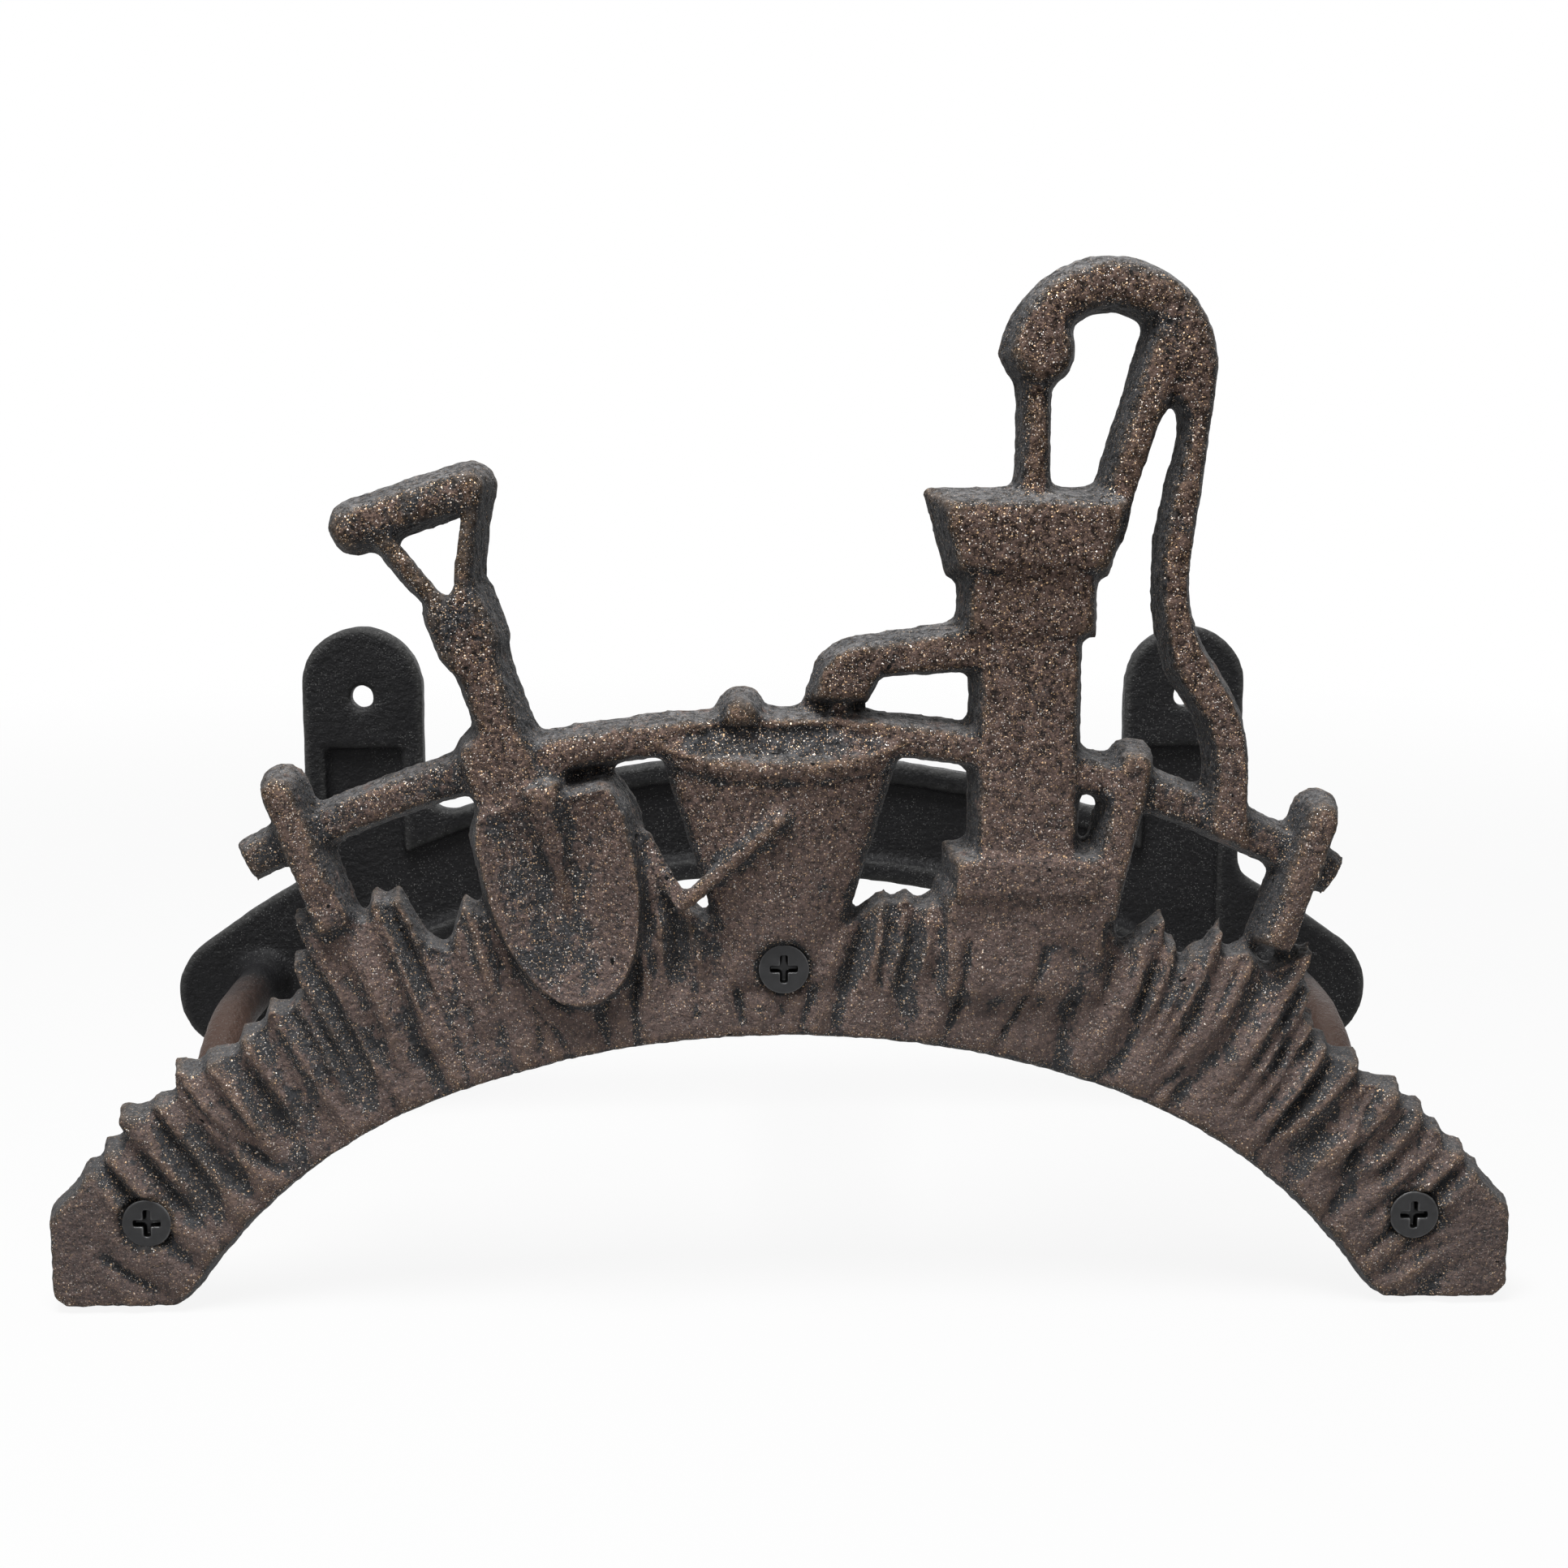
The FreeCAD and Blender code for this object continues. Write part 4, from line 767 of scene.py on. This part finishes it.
class BucketMouth:
    """Oval mouth of the bucket, its rolled rim, and the groove below the rim."""
    x = -0.0007
    z = 0.0081
    half_width = 0.0284
    half_height = 0.0045
    # rim: depth at its lower edge, and how far it leans back between a level and a height above it
    rim_depth = 0.0146
    rim_lean = 0.0046
    rim_level = 0.0040
    rim_height = 0.0085
    # hollow: distances in from the oval between which it drops; the last two keep those finite
    hollow_drop = 0.0022
    hollow_start = (0.0012, 0.0030)
    flattening = 0.025
    core = 0.2
    oval_blend = (0.0, 0.12)
    front_depths = (0.003, 0.004)
    # groove: how far it lies below the oval, its width and depth, and where it runs out
    groove_drop = 0.0042
    groove_width = 0.0006
    groove_depth = 0.0008
    groove_ends = (0.02, 0.10)
    groove_depths = (0.006, 0.008)
    # dark paint in the hollow and in the groove
    dark_blend = (0.10, 0.35)
    dark_groove = 0.8


def hollow_bucket(casting):
    """Rolled rim round an oval, a shallow hollow, and a groove below. Returns where the two are dark."""
    mouth = BucketMouth
    x, y, z = casting.points.T
    depth = PLATE_BACK_Y - y
    side = np.clip((x - mouth.x) / mouth.half_width, -1.0, 1.0)
    up = (z - mouth.z) / mouth.half_height
    oval = np.sqrt(side ** 2 + up ** 2)
    slope = mouth.rim_depth - mouth.rim_lean * np.clip((z - mouth.rim_level) / mouth.rim_height, 0.0, 1.0)
    reach = (1.0 - oval) * mouth.half_width * np.sqrt(side ** 2 + mouth.flattening)
    reach = reach / np.maximum(oval, mouth.core)
    floor = slope - mouth.hollow_drop * rise(reach, *mouth.hollow_start)
    inside = rise(1.0 - oval, *mouth.oval_blend) * rise(depth, *mouth.front_depths)
    casting.points[:, 1] -= inside * (floor - depth)
    lip = mouth.z - mouth.half_height * np.sqrt(1.0 - side ** 2) - mouth.groove_drop
    groove = np.exp(-((z - lip) / mouth.groove_width) ** 2) * rise(1.0 - np.abs(side), *mouth.groove_ends)
    groove = groove * rise(depth, *mouth.groove_depths)
    casting.points[:, 1] += groove * mouth.groove_depth
    return np.clip(inside * rise(1.0 - oval, *mouth.dark_blend) + groove * mouth.dark_groove, 0.0, 1.0)


class ScrewHead:
    """Gap round a screw's head, and its cross recess."""
    gap = (0.0062, 0.0071)
    recess_radius = 0.0034
    recess_side = (0.0, 0.0002)
    recess_top = (0.0002, 0.0006)
    recess_floor = (0.0022, 0.0024)


def screw_gap_shade(casting):
    """Painted shadow: a dark ring in the gap round each screw head."""
    x, _, z = casting.points.T
    gap_shade = np.zeros(len(x))
    for across, level, _ in SCREW_PLACES:
        off = np.hypot(x - across, z - level)
        gap_shade = np.maximum(gap_shade, fall(off, *ScrewHead.gap))
    return gap_shade


def cross_recess(casting):
    """Points inside the cross recess of a screw head, where it is painted near-black as its shade."""
    x, y, z = casting.points.T
    inside = np.zeros(len(x))
    for across, level, face in SCREW_PLACES:
        off = np.hypot(x - across, z - level)
        below = face - (PLATE_BACK_Y - y)
        core = rise(ScrewHead.recess_radius - off, *ScrewHead.recess_side)
        core = core * rise(below, *ScrewHead.recess_top)
        inside = np.maximum(inside, core * fall(below, *ScrewHead.recess_floor))
    return inside


class Tools:
    """Outlines of the tools in front of the grass, with a margin."""
    side = (-0.001, 0.001)
    blade_margin = 0.003
    blade_top = (-0.006, -0.003)
    blade_tip = (0.0485, 0.0505)
    # bucket: half its width at a level, and how much narrower it gets for each metre below
    bucket_half = 0.0305
    bucket_level = 0.0104
    bucket_taper = 0.305
    bucket_bottom = (-0.0485, -0.0455)
    pump_x = 0.053
    pump_half = 0.0205
    pump_bottom = (-0.040, -0.034)


def clear_of_tools(x, z):
    """1 on the grass and the rim, 0 on the spade, the bucket and the upper part of the pump."""
    across, along, half = along_spade(x, z)
    spade = rise(half + Tools.blade_margin - np.abs(across), *Tools.side)
    spade = spade * rise(along, *Tools.blade_top) * fall(along, *Tools.blade_tip)
    width = Tools.bucket_half - (Tools.bucket_level - z) * Tools.bucket_taper
    bucket = rise(width - np.abs(x - BucketMouth.x), *Tools.side) * rise(z, *Tools.bucket_bottom)
    pump = rise(Tools.pump_half - np.abs(x - Tools.pump_x), *Tools.side) * rise(z, *Tools.pump_bottom)
    return (1.0 - spade) * (1.0 - bucket) * (1.0 - pump)


class Turf:
    """Arc that the grass fans out from, and the creases in the grass."""
    middle_z = -0.241
    radius = 0.190
    rim_bottom = 0.168
    # creases begin above the rim's bottom and are full beyond the arc
    begin_above = 0.006
    full_beyond = 0.002
    # how far the surface faces forward, then depths, distances out and distances across that limit them
    normal_passes = 3
    facing = (0.35, 0.75)
    back_depths = (0.004, 0.006)
    front_depths = (0.0124, 0.0134)
    tips = (0.236, 0.242)
    sides = (0.148, 0.156)
    least = 0.01
    # clumps: where the fan starts above the rim's bottom, and its height
    clump_start = 0.004
    clump_height = 0.045
    # noise: how far apart its features are along the arc and outward, and its seeds
    bend_arc = 0.02
    bend_out = 0.03
    bend_seed = 9.1
    bend_share = 0.5
    crease_out = 0.055
    crease_seed = 4.2
    clump_seed = 3.7
    # creases between two clumps
    border_width = 0.006
    border_foot = 0.5
    cut_span = (0.02, 0.22)
    swell_span = (0.15, 0.5)
    swell_share = 0.35


def crease_grass(casting, settings):
    """Long creases down the blades and part of the way into the rim. Returns where they are."""
    facing = -casting.softened(casting.normals(), Turf.normal_passes)[:, 1]
    x, y, z = casting.points.T
    reach = np.hypot(x, z - Turf.middle_z)
    arc = np.arctan2(x, z - Turf.middle_z) * Turf.radius
    depth = PLATE_BACK_Y - y
    grass = rise(reach, Turf.rim_bottom + Turf.begin_above, Turf.radius + Turf.full_beyond)
    grass = grass * rise(facing, *Turf.facing)
    grass = grass * fall(depth, *Turf.front_depths) * rise(depth, *Turf.back_depths)
    grass = grass * fall(reach, *Turf.tips) * fall(np.abs(x), *Turf.sides)
    grass = grass * clear_of_tools(x, z)

    clump = np.round(arc / settings.clump_pitch)
    height = np.clip((reach - Turf.rim_bottom - Turf.clump_start) / Turf.clump_height, 0.0, 1.0)
    lane = (arc / settings.clump_pitch - clump) / (1.0 + settings.clump_fan * height)
    creases = np.ones(len(x))
    for index in np.nonzero(grass > Turf.least)[0]:
        spot = (arc[index] / Turf.bend_arc, reach[index] / Turf.bend_out, Turf.bend_seed)
        bend = noise.noise(Vector(spot))
        across = lane[index] * settings.clump_pitch / settings.crease_pitch + Turf.bend_share * bend
        seed = Turf.crease_seed + Turf.clump_seed * clump[index]
        creases[index] = abs(noise.noise(Vector((across, reach[index] / Turf.crease_out, seed))))
    border = np.abs(np.abs(arc / settings.clump_pitch - clump) - 0.5)
    border = border * settings.clump_pitch / Turf.border_width
    creases = np.minimum(creases, border + Turf.border_foot * (1.0 - height))
    crease = fall(creases, *Turf.cut_span)
    cut = crease * settings.crease_depth
    swell = rise(creases, *Turf.swell_span) * settings.crease_depth * Turf.swell_share
    casting.points[:, 1] += grass * (cut - swell)
    return grass * crease


class Grip:
    """Fork of the spade's handle, and how far it is stretched."""
    x = -0.079
    # distances to the left of the hanger's middle
    left = (0.050, 0.056)
    levels = (0.0395, 0.0500)
    lift = 0.0029
    lift_slope = 0.03


def raise_grip(casting):
    """Stretches the fork of the spade's handle upwards, a little more on the left."""
    x, _, z = casting.points.T
    moved = rise(-x, *Grip.left) * rise(z, *Grip.levels)
    casting.points[:, 2] += moved * (Grip.lift - Grip.lift_slope * (x - Grip.x))


class Rail:
    """Arc of the fence rail, and where it is set back."""
    middle_x = -0.0015
    middle_z = -0.2372
    inner = (0.2405, 0.2415)
    outer = (0.2525, 0.2535)
    left = (0.0680, 0.0700)
    right = (0.0720, 0.0740)
    post_side = (0.0034, 0.0046)
    lever_x = 0.0977
    lever_side = (0.0036, 0.0048)
    # share of the rail's depth
    set_back = 0.30


def sink_rail(casting):
    """Sets the rail back behind the posts and the lever. Returns where it is."""
    x, y, z = casting.points.T
    reach = np.hypot(x - Rail.middle_x, z - Rail.middle_z)
    sunk = rise(reach, *Rail.inner) * fall(reach, *Rail.outer)
    sunk = sunk * np.maximum(rise(-x, *Rail.left), rise(x, *Rail.right))
    for across, level, lean in FENCE_POSTS:
        tilt = math.radians(lean)
        off = (x - across) * math.cos(tilt) - (z - level) * math.sin(tilt)
        sunk = sunk * rise(np.abs(off), *Rail.post_side)
    sunk = sunk * rise(np.abs(x - Rail.lever_x), *Rail.lever_side)
    casting.points[:, 1] += sunk * Rail.set_back * (PLATE_BACK_Y - y)
    return sunk


class Wear:
    """Where the front plate is worn round, and how much."""
    handle_left = (0.030, 0.040)
    handle_levels = (-0.006, 0.006)
    fence_x = 0.003
    posts_out = (0.078, 0.086)
    posts_levels = (-0.030, -0.020)
    posts_share = 0.15
    arch_levels = (0.056, 0.062)
    plinth_half = 0.027
    plinth_side = (0.0, 0.004)
    plinth_down = (0.033, 0.046)
    passes = 7
    # worn bars swell back by this many millimetres
    swell = 0.25


def wear_round(casting):
    """Wears the handle and the arch round, the posts a little, and the pump's plinth into the grass."""
    x, _, z = casting.points.T
    handle = rise(-x, *Wear.handle_left) * rise(z, *Wear.handle_levels)
    posts = rise(np.abs(x - Wear.fence_x), *Wear.posts_out) * rise(z, *Wear.posts_levels)
    arch = rise(z, *Wear.arch_levels)
    bars = np.maximum(np.maximum(handle, Wear.posts_share * posts), arch)
    plinth = rise(Wear.plinth_half - np.abs(x - Tools.pump_x), *Wear.plinth_side)
    plinth = plinth * rise(-z, *Wear.plinth_down)
    soft = casting.softened(casting.points, Wear.passes)
    softer = casting.softened(soft, Wear.passes)
    casting.points = casting.points + bars[:, None] * (soft - casting.points)
    casting.points = casting.points + plinth[:, None] * (softer - casting.points)
    casting.points = casting.points + casting.normals() * (bars * Wear.swell * MM)[:, None]


class PlateSkin:
    """Seeds of the plate's rough skin, and the masks it keeps for its paint. Heights in millimetres."""
    softening = 1
    lump_seed = 1.0
    grain_seed = 5.0
    normal_passes = 2
    # a small neighbourhood shows edges, a large one shows hollows
    edge_passes = 14
    hollow_passes = 40
    rubbed_facing = (0.62, 0.95)
    rubbed_depth = (0.10, 0.55)
    handle_left = (0.030, 0.040)
    handle_levels = (0.005, 0.030)
    # how much less is rubbed in the scooped forms, on the handle, in the creases and on the rail
    scooped_loss = 0.85
    handle_loss = 0.55
    crease_loss = 0.6
    rail_loss = 0.5
    front_facing = (0.2, 0.8)
    edge_height = (0.18, 0.65)
    hollow_depth = (0.25, 1.6)
    hollow_loss = 0.6
    lit_top_facing = (0.35, 0.9)


class HANGER_OT_front_plate(Operator):
    """Sand-cast front plate with its relief, rubbed paint and flakes"""
    bl_idname = "hanger.front_plate"
    bl_label = "Front plate"

    def execute(self, context):
        settings = context.scene.hanger_plate
        skin = PlateSkin
        casting = Casting("front_plate", "cast_front_plate", settings.facet, lever_slot())
        casting.points = casting.softened(casting.points, settings.rounding)
        scooped = np.maximum(dish_spade(casting), hollow_bucket(casting))
        raise_grip(casting)
        rail = sink_rail(casting)
        wear_round(casting)
        crease = crease_grass(casting, settings)
        casting.points = casting.softened(casting.points, skin.softening)
        casting.roughen(settings.lump_size, settings.lump_height, skin.lump_seed)
        casting.roughen(settings.grain_size, settings.grain_height, skin.grain_seed)

        x, _, z = casting.points.T
        normals = casting.softened(casting.normals(), skin.normal_passes)
        facing = -normals[:, 1]
        height = casting.relief(skin.edge_passes) / MM
        hollow = rise(-casting.relief(skin.hollow_passes) / MM, *skin.hollow_depth)
        handle = rise(-x, *skin.handle_left) * rise(z, *skin.handle_levels)
        rubbed = rise(facing, *skin.rubbed_facing) * fall(-height, *skin.rubbed_depth)
        rubbed = rubbed * (1.0 - skin.scooped_loss * scooped) * (1.0 - skin.handle_loss * handle)
        rubbed = rubbed * (1.0 - skin.crease_loss * crease) * (1.0 - skin.rail_loss * rail)
        casting.keep("rubbed", casting.softened(rubbed, skin.softening))
        # faces that look forward, kept so the flakes thin out on the sides as painted shade
        casting.keep("front", rise(facing, *skin.front_facing))
        casting.keep("edge", rise(height, *skin.edge_height))
        # hollows and the gaps round the screw heads, kept for painted shade
        casting.keep("hollow", np.maximum(hollow * (1.0 - skin.hollow_loss * scooped), screw_gap_shade(casting)))
        # faces that look up, kept for the painted top light
        casting.keep("dust", rise(normals[:, 2], *skin.lit_top_facing))
        casting.finish("front_plate", cast_bronze(settings))
        return {"FINISHED"}


class BracketSkin:
    """Seeds of the wall bracket's rough skin, and the mask it keeps. Heights in millimetres."""
    lump_seed = 11.0
    grain_seed = 15.0
    edge_passes = 12
    edge_height = (0.12, 0.6)


class HANGER_OT_wall_bracket(Operator):
    """Black wall bracket with its three arms"""
    bl_idname = "hanger.wall_bracket"
    bl_label = "Wall bracket"

    def execute(self, context):
        settings = context.scene.hanger_bracket
        casting = Casting("wall_bracket", "cast_wall_bracket", settings.facet)
        casting.points = casting.softened(casting.points, settings.rounding)
        casting.roughen(settings.lump_size, settings.lump_height, BracketSkin.lump_seed)
        casting.roughen(settings.grain_size, settings.grain_height, BracketSkin.grain_seed)
        height = casting.relief(BracketSkin.edge_passes) / MM
        casting.keep("edge", rise(height, *BracketSkin.edge_height))
        casting.finish("wall_bracket", black_iron(settings))
        return {"FINISHED"}


class ScrewSkin:
    """Masks that the screws keep. Heights in millimetres."""
    edge_passes = 10
    edge_height = (0.04, 0.18)
    hollow_depth = (0.03, 0.15)


class HANGER_OT_plate_screws(Operator):
    """Countersunk screws with cross recesses"""
    bl_idname = "hanger.plate_screws"
    bl_label = "Plate screws"

    def execute(self, context):
        settings = context.scene.hanger_screws
        casting = Casting("plate_screws", "countersunk_screws", settings.facet)
        casting.points = casting.softened(casting.points, settings.rounding)
        height = casting.relief(ScrewSkin.edge_passes) / MM
        hollow = rise(-height, *ScrewSkin.hollow_depth)
        casting.keep("edge", rise(height, *ScrewSkin.edge_height))
        casting.keep("hollow", np.maximum(hollow, cross_recess(casting)))
        casting.finish("plate_screws", black_steel(settings))
        return {"FINISHED"}


class Room:
    """Finish of the floor, and places and widths of the lamps."""
    mottle_size = 0.05
    mottle_tones = (1.0, 1.02)
    floor_roughness = 0.9
    # distances from the middle between which the floor fades out
    floor_fade = (0.35, 1.1)
    camera_near = 0.01
    overhead = (-0.15, -0.42, 1.0)
    overhead_aim = (0.0, -0.13, 0.0)
    overhead_width = 0.55
    key = (-0.7, -1.0, 0.7)
    key_width = 0.35
    fill = (0.9, -1.2, 0.3)
    fill_width = 0.9
    back = (0.5, 1.1, 0.5)
    back_width = 0.9


def shown_rays(start):
    """1 for what the eye, a reflection or glass sees, 0 for light on the object."""
    seen = [start.node("ShaderNodeLightPath", output=name)
            for name in ("Is Camera Ray", "Is Glossy Ray", "Is Transmission Ray")]
    return (seen[0] + seen[1] + seen[2]).clamped()


def pale_floor(settings):
    """Floor that looks white to the eye and in reflections, still takes a shadow, and fades out far away."""
    material, start, shader = new_material("pale_floor")
    tree = material.node_tree
    place = object_place(start)
    mottle = grain(start, place, Room.mottle_size, 2.0)
    pale = mottle.tones((settings.floor,) * 3, *Room.mottle_tones)
    feed(start, shader, Base_Color=pale, Roughness=Room.floor_roughness, Specular_IOR_Level=0.0)
    shown = shown_rays(start)
    glow = start.node("ShaderNodeEmission", None, {"Color": WHITE, "Strength": 1.0})
    lit = start.node("ShaderNodeMixShader", None, {
        0: shown * settings.floor_glow, 1: Wire(tree, shader.outputs[0]), 2: glow})
    clear = start.node("ShaderNodeBsdfTransparent")
    away = start.node("ShaderNodeVectorMath", {"operation": "LENGTH"}, {0: place}, "Value")
    faded = start.node("ShaderNodeMixShader", None, {
        0: away.ramp(*Room.floor_fade) * shown, 1: lit, 2: clear})
    tree.links.new(faded.socket, tree.nodes["Material Output"].inputs["Surface"])
    return material


def white_world(settings):
    """White to the eye and in reflections, and a plain soft light on the object."""
    world = bpy.data.worlds.new("white_room")
    world.use_nodes = True
    tree = world.node_tree
    strength = shown_rays(Wire(tree)).between(settings.surround, 1.0)
    tree.links.new(strength.socket, tree.nodes["Background"].inputs["Strength"])
    tree.nodes["Background"].inputs["Color"].default_value = WHITE
    return world


def add_lamp(name, place, aim, width, watts):
    lamp = bpy.data.lights.new(name, "AREA")
    lamp.shape = "DISK"
    lamp.size = width
    lamp.energy = watts
    holder = bpy.data.objects.new(name, lamp)
    holder.location = place
    holder.rotation_euler = (Vector(aim) - Vector(place)).to_track_quat("-Z", "Y").to_euler()
    bpy.context.collection.objects.link(holder)


def add_camera(settings):
    """Camera at the photograph's angle."""
    flat = math.cos(settings.elevation)
    away = Vector((-math.sin(settings.azimuth) * flat, -math.cos(settings.azimuth) * flat,
                   math.sin(settings.elevation)))
    camera = bpy.data.cameras.new("photo_camera")
    camera.sensor_width = settings.sensor
    camera.lens = settings.lens
    camera.clip_start = Room.camera_near
    holder = bpy.data.objects.new("photo_camera", camera)
    holder.location = Vector(settings.aim) + away * settings.distance
    holder.rotation_euler = (-away).to_track_quat("-Z", "Y").to_euler()
    bpy.context.collection.objects.link(holder)
    return holder


def add_floor(settings):
    """Floor under the lowest point."""
    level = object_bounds()[0][2]
    half = settings.floor_half
    corners = [(-half, -half, level), (half, -half, level), (half, half, level), (-half, half, level)]
    plane = bpy.data.meshes.new("floor")
    plane.from_pydata(corners, [], [(0, 1, 2, 3)])
    plane.materials.append(pale_floor(settings))
    floor = bpy.data.objects.new("floor", plane)
    bpy.context.collection.objects.link(floor)
    floor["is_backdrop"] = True


class HANGER_OT_stage(Operator):
    """Camera at the photograph's angle, pale floor, white room and soft lamps"""
    bl_idname = "hanger.stage"
    bl_label = "Stage"

    def execute(self, context):
        settings = context.scene.hanger_stage
        context.scene.camera = add_camera(settings)
        add_floor(settings)
        context.scene.world = white_world(settings)
        add_lamp("overhead_lamp", Room.overhead, Room.overhead_aim, Room.overhead_width, settings.overhead)
        add_lamp("key_lamp", Room.key, settings.aim, Room.key_width, settings.key)
        add_lamp("fill_lamp", Room.fill, settings.aim, Room.fill_width, settings.fill)
        add_lamp("back_lamp", Room.back, settings.aim, Room.back_width, settings.back)
        context.scene.view_settings.view_transform = "Standard"
        return {"FINISHED"}


class HANGER_PT_sidebar(Panel):
    """Lists the pieces and the stage"""
    bl_idname = "HANGER_PT_sidebar"
    bl_label = "Hose hanger"
    bl_space_type = "VIEW_3D"
    bl_region_type = "UI"
    bl_category = "Hanger"

    def draw(self, context):
        for operator, name, _ in PIECES:
            box = self.layout.box()
            box.operator(operator.bl_idname)
            settings = getattr(context.scene, name)
            for setting in settings.__annotations__:
                box.prop(settings, setting)


# each operator, and the name and class of its settings
PIECES = [
    (HANGER_OT_front_plate, "hanger_plate", CastPlateSettings),
    (HANGER_OT_wall_bracket, "hanger_bracket", BracketSettings),
    (HANGER_OT_plate_screws, "hanger_screws", ScrewSettings),
    (HANGER_OT_stage, "hanger_stage", StageSettings),
]


def register():
    for operator, name, group in PIECES:
        bpy.utils.register_class(group)
        setattr(bpy.types.Scene, name, PointerProperty(type=group))
        bpy.utils.register_class(operator)
    bpy.utils.register_class(HANGER_PT_sidebar)


def unregister():
    bpy.utils.unregister_class(HANGER_PT_sidebar)
    for operator, name, group in reversed(PIECES):
        bpy.utils.unregister_class(operator)
        delattr(bpy.types.Scene, name)
        bpy.utils.unregister_class(group)


def main():
    register()
    bpy.ops.hanger.front_plate()
    bpy.ops.hanger.wall_bracket()
    bpy.ops.hanger.plate_screws()
    bpy.ops.hanger.stage()


if __name__ == "__main__":
    main()
